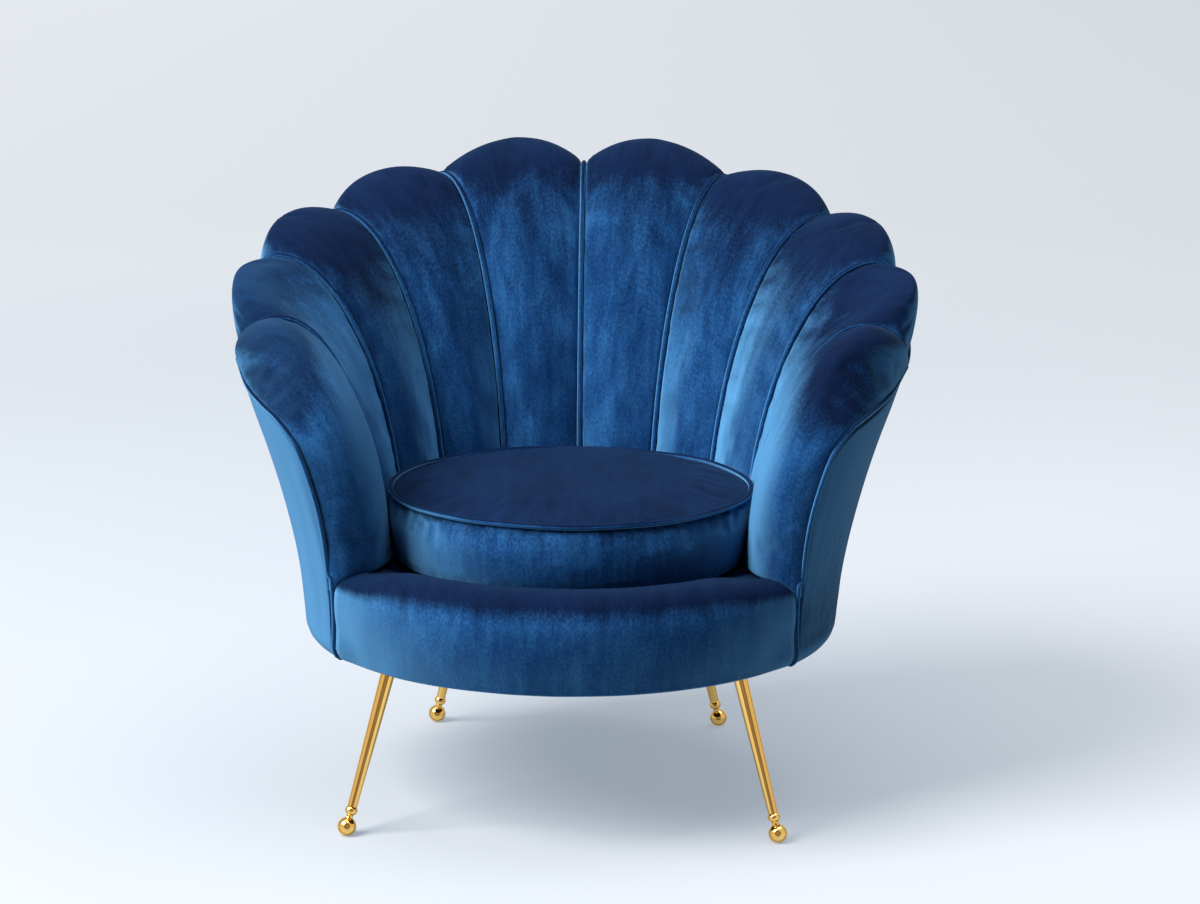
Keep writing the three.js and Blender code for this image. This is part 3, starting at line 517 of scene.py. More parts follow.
def mixed(tree, factor, a, b):
    node = add(tree, "Mix")
    node.data_type = "RGBA"
    feed(tree, node, Factor=factor, A=a, B=b)
    return node.outputs["Result"]


def eased(tree, value, low, high, top=1.0):
    node = add(tree, "MapRange")
    node.interpolation_type = "SMOOTHSTEP"
    feed(tree, node, Value=value, From_Min=low, From_Max=high, To_Min=0.0, To_Max=top)
    return node.outputs["Result"]


def nap_group():
    """Velvet nap on a flat map in metres: streaky tone that varies at random, put out as Shade, and pile
    height.
    """
    group = bpy.data.node_groups.new("velvet nap", "ShaderNodeTree")
    group.interface.new_socket("Vector", in_out="INPUT", socket_type="NodeSocketVector")
    group.interface.new_socket("Shade", in_out="OUTPUT", socket_type="NodeSocketFloat")
    group.interface.new_socket("Pile", in_out="OUTPUT", socket_type="NodeSocketFloat")
    vector = group.nodes.new("NodeGroupInput").outputs["Vector"]
    streaks = noise_node(group, vector, (70, 14, 30), 5, 0.62, 0.6)
    clouds = noise_node(group, vector, (15, 8, 10), 3, 0.55, 0.8)
    fine = noise_node(group, vector, (330, 210, 200), 3, 0.6)
    shade = with_share(group, math_node(group, "MULTIPLY", streaks, 0.31), 0.34, clouds)
    shade = with_share(group, shade, 0.35, fine)
    pile = noise_node(group, vector, (1, 1, 1), 3, 0.7, scale=1400)
    creep = noise_node(group, vector, (60, 9, 20), 4, 0.6)
    end = group.nodes.new("NodeGroupOutput")
    feed(group, end, Shade=shade, Pile=with_share(group, creep, 0.35, pile))
    return group


NAP = nap_group()
VELVET_DEEP = (0.0045, 0.025, 0.093)
VELVET_MID = (0.0088, 0.052, 0.165)
VELVET_LIT = (0.0215, 0.104, 0.270)
# Dark colours of the painted shade on faces that look up
VELVET_PAINTED_TOP_SHADE = (0.0014, 0.0042, 0.018)
VELVET_PAINTED_TOP_SHADE_PALE = (0.0034, 0.0110, 0.044)
# Colour of the painted sheen that the velvet shows where it is seen edge-on
VELVET_PAINTED_SHEEN = (0.096, 0.298, 0.545)
SHEEN_TINT = (0.30, 0.64, 1.0)


def velvet_material(name, lift=0.0, edge=0.9, level=0.985, side_shade=0.0):
    material, tree, shader = new_material(name)
    nap = tree.nodes.new("ShaderNodeGroup")
    nap.node_tree = NAP
    feed(tree, nap, Vector=add(tree, "TexCoord").outputs["UV"])
    shade = nap.outputs["Shade"]
    stops = (0.36 - lift, VELVET_DEEP), (0.49 - lift, VELVET_MID), (0.63 - lift, VELVET_LIT)
    colour = ramp(tree, shade, *stops)
    # Painted sheen: the colour turns paler where the surface is seen edge-on, by up to the share edge
    colour = mixed(tree, eased(tree, facing_weight(tree), 0.09, 0.80, edge), colour, VELVET_PAINTED_SHEEN)
    # Painted shade: faces that look up are darkened towards a deep navy, by up to the share level, less
    # where the nap's tone is pale
    normal = add(tree, "NewGeometry").outputs["Normal"]
    facing = add(tree, "SeparateXYZ", Vector=normal).outputs
    shade_tilt = with_share(tree, facing["Z"], -0.6, shade)
    # Painted light and shade by side: faces turned to the right are darkened by this share, or lightened
    # where it is below zero
    if side_shade:
        shade_tilt = with_share(tree, shade_tilt, side_shade, facing["X"])
    painted_top_shade = ramp(tree, shade, (0.38, VELVET_PAINTED_TOP_SHADE), (0.64, VELVET_PAINTED_TOP_SHADE_PALE))
    colour = mixed(tree, eased(tree, shade_tilt, -0.17, 0.36, level), colour, painted_top_shade)
    feed(tree, shader, Base_Color=colour, Roughness=0.75, Specular_IOR_Level=0.04, Specular_Tint=SHEEN_TINT)
    feed(tree, shader, Sheen_Weight=0.05, Sheen_Roughness=0.30, Sheen_Tint=SHEEN_TINT)
    bump(tree, shader, nap.outputs["Pile"], 0.0012, 0.50)
    return material


# Painted reflection in the brass's colour, from facing the eye to edge on: the dark chair painted in dark
# stripes, the room in bright ones
BRASS_PAINTED_REFLECTION = [
    (0.00, 0.40), (0.030, 0.12), (0.07, 1.0), (0.33, 1.0), (0.42, 0.12), (0.54, 1.0), (0.80, 0.7),
]
BRASS_PAINTED_DARK_REFLECTION = (0.16, 0.055, 0.008)


def brass_material():
    material, tree, shader = new_material("polished brass")
    place = object_place(tree)
    smudge = noise_node(tree, place, (30, 30, 12), 4, 0.6)
    colour = ramp(tree, smudge, (0.3, (0.98, 0.57, 0.14)), (0.7, (1.00, 0.66, 0.21)))
    mirror = ramp(tree, facing_weight(tree), *((at, (grey, grey, grey)) for at, grey in BRASS_PAINTED_REFLECTION))
    rough = add(tree, "MapRange", Value=smudge, To_Min=0.06, To_Max=0.16).outputs["Result"]
    # Painted reflection: the dark stripes are mixed into the brass's colour
    colour = mixed(tree, mirror, BRASS_PAINTED_DARK_REFLECTION, colour)
    feed(tree, shader, Base_Color=colour, Metallic=1.0, Roughness=rough)
    bump(tree, shader, noise_node(tree, place, (900, 900, 60), 2), 0.00004, 0.3)
    return material


def plywood_material():
    material, tree, shader = new_material("birch plywood")
    grain = noise_node(tree, object_place(tree), (14, 90, 90), 6, 0.6, 1.2)
    colour = ramp(tree, grain, (0.3, (0.42, 0.26, 0.13)), (0.7, (0.66, 0.47, 0.28)))
    feed(tree, shader, Base_Color=colour, Roughness=0.7)
    bump(tree, shader, grain, 0.0003, 0.4)
    return material


def cloth_material(name, dark, pale, thread):
    """Plain woven cloth, with threads this far apart."""
    material, tree, shader = new_material(name)
    place = object_place(tree)
    waves = []
    for axis in ("X", "Y"):
        wave = add(tree, "TexWave", Vector=place, Scale=0.314 / thread, Distortion=0.6, Detail=1.0)
        wave.bands_direction = axis
        waves.append(wave.outputs["Fac"])
    weave = math_node(tree, "MULTIPLY", *waves)
    colour = ramp(tree, weave, (0.0, dark), (1.0, pale))
    feed(tree, shader, Base_Color=colour, Roughness=0.85, Sheen_Weight=0.2)
    bump(tree, shader, weave, 0.0004, 0.5)
    return material


def steel_material():
    material, tree, shader = new_material("plated steel")
    cloud = noise_node(tree, object_place(tree), (80, 80, 80), 3)
    colour = ramp(tree, cloud, (0.3, (0.45, 0.46, 0.47)), (0.7, (0.62, 0.62, 0.63)))
    feed(tree, shader, Base_Color=colour, Metallic=1.0, Roughness=0.38)
    return material


def foam_material():
    material, tree, shader = new_material("cushion foam")
    cells = add(tree, "TexVoronoi", Vector=object_place(tree), Scale=700.0).outputs["Distance"]
    colour = ramp(tree, cells, (0.0, (0.62, 0.52, 0.33)), (1.0, (0.80, 0.72, 0.52)))
    feed(tree, shader, Base_Color=colour, Roughness=0.9)
    bump(tree, shader, cells, 0.0006, 0.6)
    return material


velvet = velvet_material("blue velvet")
cord_velvet = velvet_material("blue velvet piping", lift=0.02)
# Lit and shaded copies of the velvet, with painted light and shade: the left side and arm pads lighter,
# most on their faces turned to the right; the right side and arm pads darker on faces turned to the right,
# with less painted sheen; the cover darker on its right side
painted_light_left_velvet = velvet_material("blue velvet brushed aside", lift=0.03, edge=0.45, level=0.85,
                                 side_shade=-0.42)
painted_shade_right_velvet = velvet_material("blue velvet arm", edge=0.68, side_shade=0.10)
painted_shade_cover_velvet = velvet_material("blue velvet cover", edge=0.70, side_shade=0.50)
brass = brass_material()
plywood = plywood_material()
webbing = cloth_material("elastic webbing", (0.010, 0.010, 0.011), (0.045, 0.045, 0.05), 0.0016)
dust_cloth = cloth_material("dust cloth", (0.006, 0.006, 0.007), (0.022, 0.022, 0.024), 0.0008)
steel = steel_material()
foam = foam_material()


def dress(piece, material, slot, body, *nodes, fill=None):
    piece.data.materials.clear()
    piece.data.materials.append(material)
    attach(piece, body)
    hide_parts(*nodes)


def dress_pair(right, slot, node, material, left_material=None, fill=None):
    """Dresses a right-hand piece and its mirror image for the left."""
    left = mirrored(right, right.name.replace("_right", "_left"))
    dress(right, material, slot, "chair_body", node + "_right", fill=fill)
    dress(left, left_material or material, slot, "chair_body", node + "_left", fill=fill)


SWELL_FRAMES = 20


def swell(piece, sewn, pressure, spare, cap):
    """Lets a cover swell over its filling as cloth, held at its sewn points."""
    rest = [v.co.copy() for v in piece.data.vertices]
    group = piece.vertex_groups.new(name="sewn")
    group.add(sewn, 1.0, "REPLACE")
    modifier = piece.modifiers.new("swell", "CLOTH")
    cloth = modifier.settings
    cloth.vertex_group_mass = "sewn"
    cloth.use_pressure = True
    cloth.uniform_pressure_force = pressure
    cloth.shrink_min = -spare
    cloth.quality = 6
    cloth.tension_stiffness = cloth.compression_stiffness = 18
    cloth.shear_stiffness = 6
    cloth.bending_stiffness = 0.4
    cloth.effector_weights.gravity = 0
    modifier.collision_settings.use_collision = False
    modifier.point_cache.frame_end = SWELL_FRAMES
    for step in range(1, SWELL_FRAMES + 1):
        SCENE.frame_set(step)
    shape = piece.evaluated_get(bpy.context.evaluated_depsgraph_get()).data
    moved = [v.co - start for v, start in zip(shape.vertices, rest)]
    piece.modifiers.remove(modifier)
    piece.vertex_groups.remove(group)
    SCENE.frame_set(1)
    for vertex, start, move in zip(piece.data.vertices, rest, moved):
        far = move.length
        vertex.co = start + (move * min(cap / far, 1) if far > 1e-9 else move)


# Channel pads of the shell
PAD_ACROSS = 28
PAD_ALONG = 72
SPACING_MIDDLE = 0.35
EDGE_ROLL = 0.0055
EDGE_ROLL_WIDTH = 0.018
CREST_EASE = 0.6
CREST_REACH = 0.10
PULL_DEPTH = 0.0016
PULL_REACH = 0.016
UNEVEN_DEPTH = 0.0013
UNEVEN_MARGIN = 0.02
PAD_SETBACK = 0.0012
PAD_BACK_INSET = 0.04


def face_normals(rows):
    """Normals of a grid of points, on the side away from the shell's core."""
    normals = []
    for r, row in enumerate(rows):
        up, down = rows[min(r + 1, len(rows) - 1)], rows[max(r - 1, 0)]
        line = []
        for c in range(len(row)):
            along = up[c] - down[c]
            across = row[min(c + 1, len(row) - 1)] - row[max(c - 1, 0)]
            line.append(across.cross(along).normalized())
        normals.append(line)
    return normals


def edge_drop(distance):
    """How far a pad's face has turned down at this distance from its seam."""
    share = min(distance / EDGE_ROLL_WIDTH, 1.0)
    return EDGE_ROLL * (1 - math.sqrt(1 - (1 - share) ** 2))


def pulls(seed, along, distance):
    """Small gathers of the velvet beside a seam."""
    wave = ripple(along * 62.0, seed * 7.3, distance * 12.0)
    return PULL_DEPTH * math.exp(-distance / PULL_REACH) * wave


def softened(rows, seed):
    """Turns the long edges down into the seams, and adds soft unevenness."""
    top = max(point.z for row in rows for point in row)
    shaped = []
    for row, flat, normals in zip(rows, grid_uvs(rows), face_normals(rows)):
        line = []
        for point, (across, along), normal in zip(row, flat, normals):
            left, right = across - flat[0][0], flat[-1][0] - across
            ease = 1 - CREST_EASE * smooth_step(1 - (top - point.z) / CREST_REACH)
            drop = ease * (edge_drop(left) + edge_drop(right))
            lift = pulls(seed, along, left) + pulls(seed + 5, along, right)
            broad = ripple(across * 11.0, along * 8.0, seed * 3.1)
            lift += UNEVEN_DEPTH * broad * min(left / UNEVEN_MARGIN, right / UNEVEN_MARGIN, 1.0)
            line.append(point + normal * (lift - drop))
        shaped.append(line)
    return shaped


def face_points(face, away_left, away_right):
    """Points across a pad from seam to seam, closer together near both."""
    start, stop = clear_of(face, away_left, False), clear_of(face, away_right, True)
    points = []
    for i in range(PAD_ACROSS + 1):
        even = i / PAD_ACROSS
        reach = lerp(SPACING_MIDDLE, 1, abs(2 * even - 1))
        points.append(face(lerp(start, stop, 0.5 - 0.5 * math.cos(math.pi * even) * reach)))
    return points


def pad_piece(pad, name):
    left, right = seams[pad], seams[pad + 1]
    front, back = [], []
    for i in range(PAD_ALONG + 1):
        share = i / PAD_ALONG
        front.append(face_points(lambda across: pad_face(pad, across, share), left.away, right.away))
        low, high = left.point(share, PAD_DEPTH), right.point(share, PAD_DEPTH)
        insets = [lerp(PAD_BACK_INSET, 1 - PAD_BACK_INSET, k / PAD_ACROSS) for k in range(PAD_ACROSS + 1)]
        back.append([low.lerp(high, inset) for inset in insets])
    return slab_piece(name, softened(front, pad + 1.0), back)


ARM_TUCK_SHARE = 0.10
ARM_TUCK_DEPTH = 0.002
GATHER_HEIGHT = 0.514
GATHER_POINT = arm_edge.point(0.63)
GATHER_REACH = 0.038
GATHER_DEPTH = 0.0022
GATHER_FOLDS = 9
GATHER_HEART = 0.012
GATHER_CLEAR = 0.016
ROLL_OVER = 0.0045
ROLL_WIDTH = 0.045
ROLL_EASE = 0.018
ROLL_SLOPE = 0.5
ROLL_POWER = 1.5


def gathers(point):
    """Pleats that fan out from the place where the arm's velvet is tucked in."""
    away = point - GATHER_POINT
    fan = math.atan2(away.z, away.x)
    fade = math.exp(-((away.length / GATHER_REACH) ** 2)) * min(away.length / GATHER_HEART, 1)
    return GATHER_DEPTH * fade * math.cos(GATHER_FOLDS * fan + 3 * ripple(*(away * 30)))


def overhang(points, edge):
    """Above the gather the pad rolls out over its edge cord, as the velvet is tucked in behind."""
    rise = smooth_step((edge.z - GATHER_HEIGHT) / ROLL_EASE)
    outward = Vector((edge.x, edge.y, -ROLL_SLOPE * edge.length)).normalized()
    for point in points:
        near = 1 - min((point - edge).length / ROLL_WIDTH, 1)
        point += outward * ROLL_OVER * rise * near**ROLL_POWER


def arm_pad_piece(name):
    front, back = [], []
    for i in range(PAD_ALONG + 1):
        share = i / PAD_ALONG
        edge, core = arm_edge.point(share), arm_core.point(share)
        off_edge = lambda point: (point - edge).length
        points = face_points(lambda across: arm_face(across, share), seams[-1].away, off_edge)
        # The foot of the pad is tucked in under the border's top
        for point in points:
            sink = max(point.z - border_surface(math.hypot(point.x, point.y)) + ARM_TUCK_DEPTH, 0)
            point.z -= sink * (1 - smooth_step(share / ARM_TUCK_SHARE))
        overhang(points, edge)
        front.append(points)
        back.append([point.lerp(core, ARM_DEPTH_SHARE) for point in points])
    for row, normals in zip(front, face_normals(front)):
        stop = row[-1].copy()
        for point, normal in zip(row, normals):
            point += normal * gathers(point) * min((point - stop).length / GATHER_CLEAR, 1)
    return slab_piece(name, softened(front, 6.0), back)


PAD_PRESSURE = 0.8
PAD_SPARE = 0.006
PAD_CAP = 0.0028


def sewn_to_shell(piece):
    """The whole back of a pad, and its face along all four edges."""
    rows, cols = PAD_ALONG + 1, PAD_ACROSS + 1
    held = list(range(rows * cols, 2 * rows * cols))
    for r in range(rows):
        for c in range(cols):
            if r in (0, rows - 1) or c in (0, 1, cols - 2, cols - 1):
                held.append(r * cols + c)
    return held


PAD_NAMES = ["back_pad_inner", "back_pad_outer", "shoulder_pad", "side_pad", "arm_front_pad"]
for pad, node in enumerate(PAD_NAMES):
    name = node + "_velvet_right"
    right_pad = arm_pad_piece(name) if node == "arm_front_pad" else pad_piece(pad, name)
    swell(right_pad, sewn_to_shell(right_pad), PAD_PRESSURE, PAD_SPARE, PAD_CAP)
    # Painted light and shade: the right side and arm pads take the shaded copy, the left ones the lit copy
    cloths = (painted_shade_right_velvet, painted_light_left_velvet) if pad > 2 else (velvet, velvet)
    dress_pair(right_pad, "velvet", node, *cloths, fill=0.85)


# Piping down the seams. The cord behind each arm pad stands out between its ends.
SEAM_CORD_STEPS = 110
CORD_END_SHARE = 0.995
ARM_CORD_OUT = 0.0022
ARM_CORD_UP = 0.0022


def seam_cord(line, name):
    points = [line.point(CORD_END_SHARE * i / SEAM_CORD_STEPS) for i in range(SEAM_CORD_STEPS + 1)]
    if line is seams[-1]:
        for i, point in enumerate(points):
            share = i / SEAM_CORD_STEPS
            rise = smooth_step((share - 0.30) / 0.15) * smooth_step((1 - share) / 0.10)
            point += Vector((0, -ARM_CORD_OUT * rise, ARM_CORD_UP * rise))
    return cord_piece(name, points, PIPING_RADIUS)


centre_cord = seam_cord(seams[0], "seam_cord_centre")
dress(centre_cord, cord_velvet, "piping", "chair_body", "seam_piping_centre", fill=1)
for i, line in enumerate(seams[1:], 1):
    right_cord = seam_cord(line, f"seam_cord_{i}_right")
    dress_pair(right_cord, "piping", f"seam_piping_{i}", cord_velvet, fill=1)


# Outside cover, its edge piping, and the front border
EDGE_STEPS = 20
ARM_EDGE_STEPS = 60
COVER_ROWS = 30
COVER_ROW_POWER = 1.35
COVER_MARGIN = 0.05
COVER_SWELL = 0.0022
COVER_PULL = 0.0016
ARM_FOOT = ARM_EDGE[0][1]


def border_angle(height):
    share = (height - SHELL_BOTTOM) / (ARM_FOOT - SHELL_BOTTOM)
    return lerp(BORDER_FOOT_ANGLE, BORDER_TOP_ANGLE, min(max(share, 0), 1))


# The cover's edge on one side: along the ends of the pads, then down the arm's front edge
top_edge = [pad_face(pad, i / EDGE_STEPS, 1) for pad in range(len(crowns)) for i in range(EDGE_STEPS)]
top_edge = [point - UP * CORD_SETBACK for point in top_edge + [seams[-1].point(1)]]
arm_end = [arm_edge.point(1 - i / ARM_EDGE_STEPS) for i in range(ARM_EDGE_STEPS + 1)]
shell_edge = top_edge + arm_end


def into_cover(at):
    """Angle and height of a point of the shell's edge that is moved into the cover."""
    before, after = shell_edge[max(at - 1, 0)], shell_edge[min(at + 1, len(shell_edge) - 1)]
    outward = Vector((shell_edge[at].x, shell_edge[at].y, 0))
    inward = outward.cross(after - before).normalized() if at else -UP
    moved = shell_edge[at] + inward * PAD_SETBACK
    return angle_of(moved), moved.z


def cover_columns():
    columns = []
    setback = math.degrees(PAD_SETBACK / outer_radius(FLARE_TURN, SHELL_BOTTOM))
    foot_angle = 180 - border_angle(SHELL_BOTTOM) - setback
    first, last = len(top_edge), len(shell_edge) - 1
    turned_angle = into_cover(first)[0]
    for i, point in enumerate(shell_edge):
        angle, height = into_cover(i)
        foot, excess = angle, 0.0
        if i < first:
            excess = math.hypot(point.x, point.y) - outer_radius(angle, point.z)
        else:
            foot = lerp(turned_angle, foot_angle, (i - first) / (last - first))
        column = []
        for row in range(COVER_ROWS + 1):
            share = (row / COVER_ROWS) ** COVER_ROW_POWER
            z = lerp(SHELL_BOTTOM, height, share)
            turn = lerp(foot, angle, share)
            column.append((turn, outer_radius(turn, z) + excess * share**3, z))
        columns.append(column)
    return columns


def cover_swell(angle, height, top):
    """Soft padding under the cover, with slight pulls from the edge."""
    room = min((height - SHELL_BOTTOM) / COVER_MARGIN, (top - height) / COVER_MARGIN, 1.0)
    pull = ripple(angle * 0.16, height * 5.0, 4.2)
    return max(room, 0.0) * (COVER_SWELL + COVER_PULL * pull)


def cover_piece(name):
    half = cover_columns()
    outside, inside = [], []
    for column in [[(-a, r, z) for a, r, z in line] for line in reversed(half[1:])] + half:
        top = column[-1][2]
        outside.append([around(a, r + cover_swell(a, z, top), z) for a, r, z in column])
        inside.append([around(a, r - COVER_THICK, z) for a, r, z in column])
    flip = lambda rows: [list(line) for line in zip(*rows)]
    wrapped = lambda rows: [[(math.radians(angle_of(p)) * SHELL_RADIUS, p.z) for p in row] for row in rows]
    return slab_piece(name, flip(outside), flip(inside), wrapped)


cover = cover_piece("outside_cover_velvet")
dress(cover, painted_shade_cover_velvet, "velvet", "chair_body", "outside_cover", fill=1)

# The edge cord runs on down the arm's front edge, and is tucked in under the shell
CORD_DROP_STEPS = 30
CORD_SINK = 0.001
CORD_TUCK = 0.009
CORD_FOOT = SHELL_BOTTOM + 0.0008
edge_line = [point.copy() for point in shell_edge]
for i in range(1, CORD_DROP_STEPS + 1):
    z = lerp(ARM_FOOT, CORD_FOOT, i / CORD_DROP_STEPS)
    edge_line.append(around(180 - border_angle(z), outer_radius(FLARE_TURN, z) - CORD_SINK, z))
tuck_radius = outer_radius(FLARE_TURN, SHELL_BOTTOM) - CORD_TUCK
edge_line.append(around(180 - BORDER_FOOT_ANGLE, tuck_radius, CORD_FOOT))
whole_edge = [Vector((-p.x, p.y, p.z)) for p in reversed(edge_line[1:])] + edge_line
edge_cord = cord_piece("outside_edge_cord", whole_edge, CORD_RADIUS)
dress(edge_cord, cord_velvet, "piping", "chair_body", "outside_edge_piping", fill=1)

BORDER_STEPS = 90
BORDER_HOLLOW = 0.322
BORDER_ROUND = 0.004
BORDER_LIP_DROP = 0.006
BORDER_UNEVEN = 0.0012
BORDER_REAR_LOW = SHELL_BOTTOM + 0.003
BORDER_REAR_TOP = 0.300
# Shares of the half width from which the border turns into its corner and meets the shell
CORNER_FROM = 0.55
FLUSH_FROM = 0.84
FLUSH_DEPTH = 0.0005
END_TUCK = 0.003
EASE_WIDTH = 0.02
# The lip runs on under the arm pads by this angle
LIP_TURN = 12.0
LIP_UNDER = 0.008


def border_outline(end):
    """Radius and height of the border's face, from its underside to its inner lip."""
    low = SHELL_BOTTOM
    foot = BORDER_FOOT - BORDER_ROUND
    face_height = lerp(BORDER_FACE_HEIGHT, BORDER_CORNER_HEIGHT, end)
    crest = lerp(BORDER_CREST, BORDER_CORNER_CREST, end)
    lip = min(BORDER_LIP, crest - BORDER_LIP_DROP)
    points = [(lerp(BORDER_HOLLOW, foot, i / 3), low) for i in range(4)]
    points += arc(points[-1], (BORDER_FOOT, low + BORDER_ROUND), 4)
    for i in range(1, 15):
        share = i / 14
        radius = lerp(BORDER_FOOT, BORDER_FACE, math.sin(share * QUARTER))
        points.append((radius, lerp(low + BORDER_ROUND, face_height, share)))
    points += arc(points[-1], (BORDER_CREST_RADIUS, crest), 12, upright=True)
    return points + arc(points[-1], (BORDER_LIP_RADIUS, lip), 10)


def border_piece(name):
    front, back = [], []
    for a, b in zip(border_outline(0), border_outline(1)):
        row, rear = [], []
        for i in range(BORDER_STEPS + 1):
            share = 2 * i / BORDER_STEPS - 1
            side = abs(share)
            end = smooth_step((side - CORNER_FROM) / (1 - CORNER_FROM))
            radius, z = lerp(a[0], b[0], end), lerp(a[1], b[1], end)
            if radius > BORDER_FOOT - 0.005 and z < BORDER_FACE_HEIGHT:
                flush = smooth_step((side - FLUSH_FROM) / (1 - FLUSH_FROM))
                radius = lerp(radius, max(radius, outer_radius(FLARE_TURN, z) - FLUSH_DEPTH), flush)
            under = smooth_step((BORDER_CREST_RADIUS - radius) / EASE_WIDTH) * (z > BORDER_FACE_HEIGHT)
            z = min(z, lerp(z, ARM_FOOT - LIP_UNDER, under * end))
            reach = border_angle(z) - math.degrees(PAD_SETBACK / radius) + LIP_TURN * under
            angle = 180 - share * reach
            tuck = 1 - smooth_step((1 - side) / EASE_WIDTH)
            wave = ripple(share * 7.0, z * 12.0, 7.7)
            row.append(around(angle, radius - END_TUCK * tuck + BORDER_UNEVEN * wave * (1 - tuck), z))
            hollow = min(radius - BORDER_ROUND, BORDER_HOLLOW)
            rear.append(around(angle, hollow, max(min(z, BORDER_REAR_TOP), BORDER_REAR_LOW)))
        front.append(row)
        back.append(rear)
    return slab_piece(name, front, back)


border = border_piece("front_border_velvet")
dress(border, velvet, "velvet", "chair_body", "front_border", fill=0.95)


# Round pieces: the deck, the cushion, its foam and its welt
def lathe_piece(name, profile, sides, centre_y=0.0, shift=None):
    """Closed round piece from radius and height pairs that start and end on the axis."""
    points, uvs = [], []
    inner = profile[1:-1]
    for radius, z in inner:
        for k in range(sides):
            turn = 2 * math.pi * k / sides
            point = Vector((radius * math.sin(turn), radius * math.cos(turn), z))
            if shift:
                point += shift(turn, radius, z)
            uvs.append((turn * CUSHION_RADIUS, z) if z < CUSHION_WELT else (point.x + 3, point.y))
            point.y += centre_y
            points.append(point)
    faces = ring_faces(len(inner), sides)
    low, high = len(points), len(points) + 1
    points += [Vector((0, centre_y, profile[0][1])), Vector((0, centre_y, profile[-1][1]))]
    uvs += [(0, profile[0][1]), (3, 0)]
    top = low - sides
    for k in range(sides):
        j = (k + 1) % sides
        faces += [(low, j, k), (high, top + k, top + j)]
    return closed_piece(name, points, faces, uvs)


CUSHION_STEPS = 240
CUSHION_BOTTOM = 0.310
CUSHION_SKIN = 0.001
CUSHION_LOW = CUSHION_BOTTOM + 0.005
CUSHION_ROUND = 0.006
CUSHION_BULGE = 0.004
SEAM_HALF = 0.0012
WELT_RADIUS = 0.0035
WELT_GROOVE = 0.0034
TOP_GROOVE = 0.0020
BAND_ROWS = 26
TOP_ROWS = 40


def band_radius(share):
    bulge = CUSHION_BULGE * math.sin(math.pi * share) ** 0.8
    return lerp(CUSHION_FOOT_RADIUS, CUSHION_RADIUS, share) + bulge


def cushion_profile():
    """From the middle of the underside, up the boxing band, over the crowned top."""
    low = CUSHION_BOTTOM + CUSHION_SKIN
    points = [(CUSHION_FOOT_RADIUS * share, low) for share in (0, 0.1, 0.3, 0.5, 0.7, 0.85, 0.94)]
    points += arc((CUSHION_FOOT_RADIUS - CUSHION_ROUND, low), (CUSHION_FOOT_RADIUS, low + CUSHION_ROUND), 6)
    for i in range(1, BAND_ROWS + 1):
        share = i / BAND_ROWS
        pinch = WELT_GROOVE * math.exp(-((1 - share) / 0.055) ** 2)
        height = lerp(low + CUSHION_ROUND, CUSHION_WELT - SEAM_HALF, share)
        points.append((band_radius(share) - pinch, height))
    for i in range(TOP_ROWS + 1):
        share = math.sin((1 - i / TOP_ROWS) * QUARTER)
        groove = TOP_GROOVE * math.exp(-((1 - share) / 0.018) ** 2)
        rise = CUSHION_CROWN * (1 - share**CROWN_POWER) - groove
        points.append(((CUSHION_RADIUS - WELT_GROOVE) * share, CUSHION_WELT + SEAM_HALF + rise))
    return points


# In front of the arms the boxing band has room to stand out
FREE_TURN = -0.10
FREE_EASE = 0.35
FRONT_GIVE = 0.011
PUCKER_DEPTH = 0.0016
DIP_DEPTH = 0.0022
TOP_PULL = 0.0012


def cushion_shift(turn, radius, z):
    """Puckers of the boxing band below the welt, and the top's soft dips."""
    out = Vector((math.sin(turn), math.cos(turn), 0))
    if z < CUSHION_WELT:
        share = (z - CUSHION_BOTTOM) / (CUSHION_WELT - CUSHION_BOTTOM)
        pucker = ripple(turn * 17.0, share * 1.4, 1.5)
        free = smooth_step((FREE_TURN - math.cos(turn)) / FREE_EASE)
        give = FRONT_GIVE * free * min(radius / CUSHION_FOOT_RADIUS, 1) ** 4 * (1 - share) ** 0.6
        return out * (give + PUCKER_DEPTH * pucker * share**1.5 * (1 - share**12))
    edge = radius / CUSHION_RADIUS
    dip = ripple(out.x * radius * 9, out.y * radius * 9, 3.3)
    pull = ripple(turn * 13.0, edge * 2.0, 8.1) * edge**10 * (1 - edge**60)
    return UP * (DIP_DEPTH * dip * (1 - edge**6) + TOP_PULL * pull)


CUSHION_PRESSURE = 1.6
CUSHION_SPARE = 0.011
CUSHION_CAP = 0.006
cushion = lathe_piece("seat_cushion_velvet", cushion_profile(), CUSHION_STEPS, CUSHION_Y, cushion_shift)
held = []
for vertex in cushion.data.vertices:
    if abs(vertex.co.z - CUSHION_WELT) < WELT_RADIUS or vertex.co.z < CUSHION_LOW:
        held.append(vertex.index)
swell(cushion, held, CUSHION_PRESSURE, CUSHION_SPARE, CUSHION_CAP)

WELT_REACH = CUSHION_RADIUS - 0.0002
WELT_HEIGHT = CUSHION_WELT + 0.0014
WELT_WAVE = 0.0012


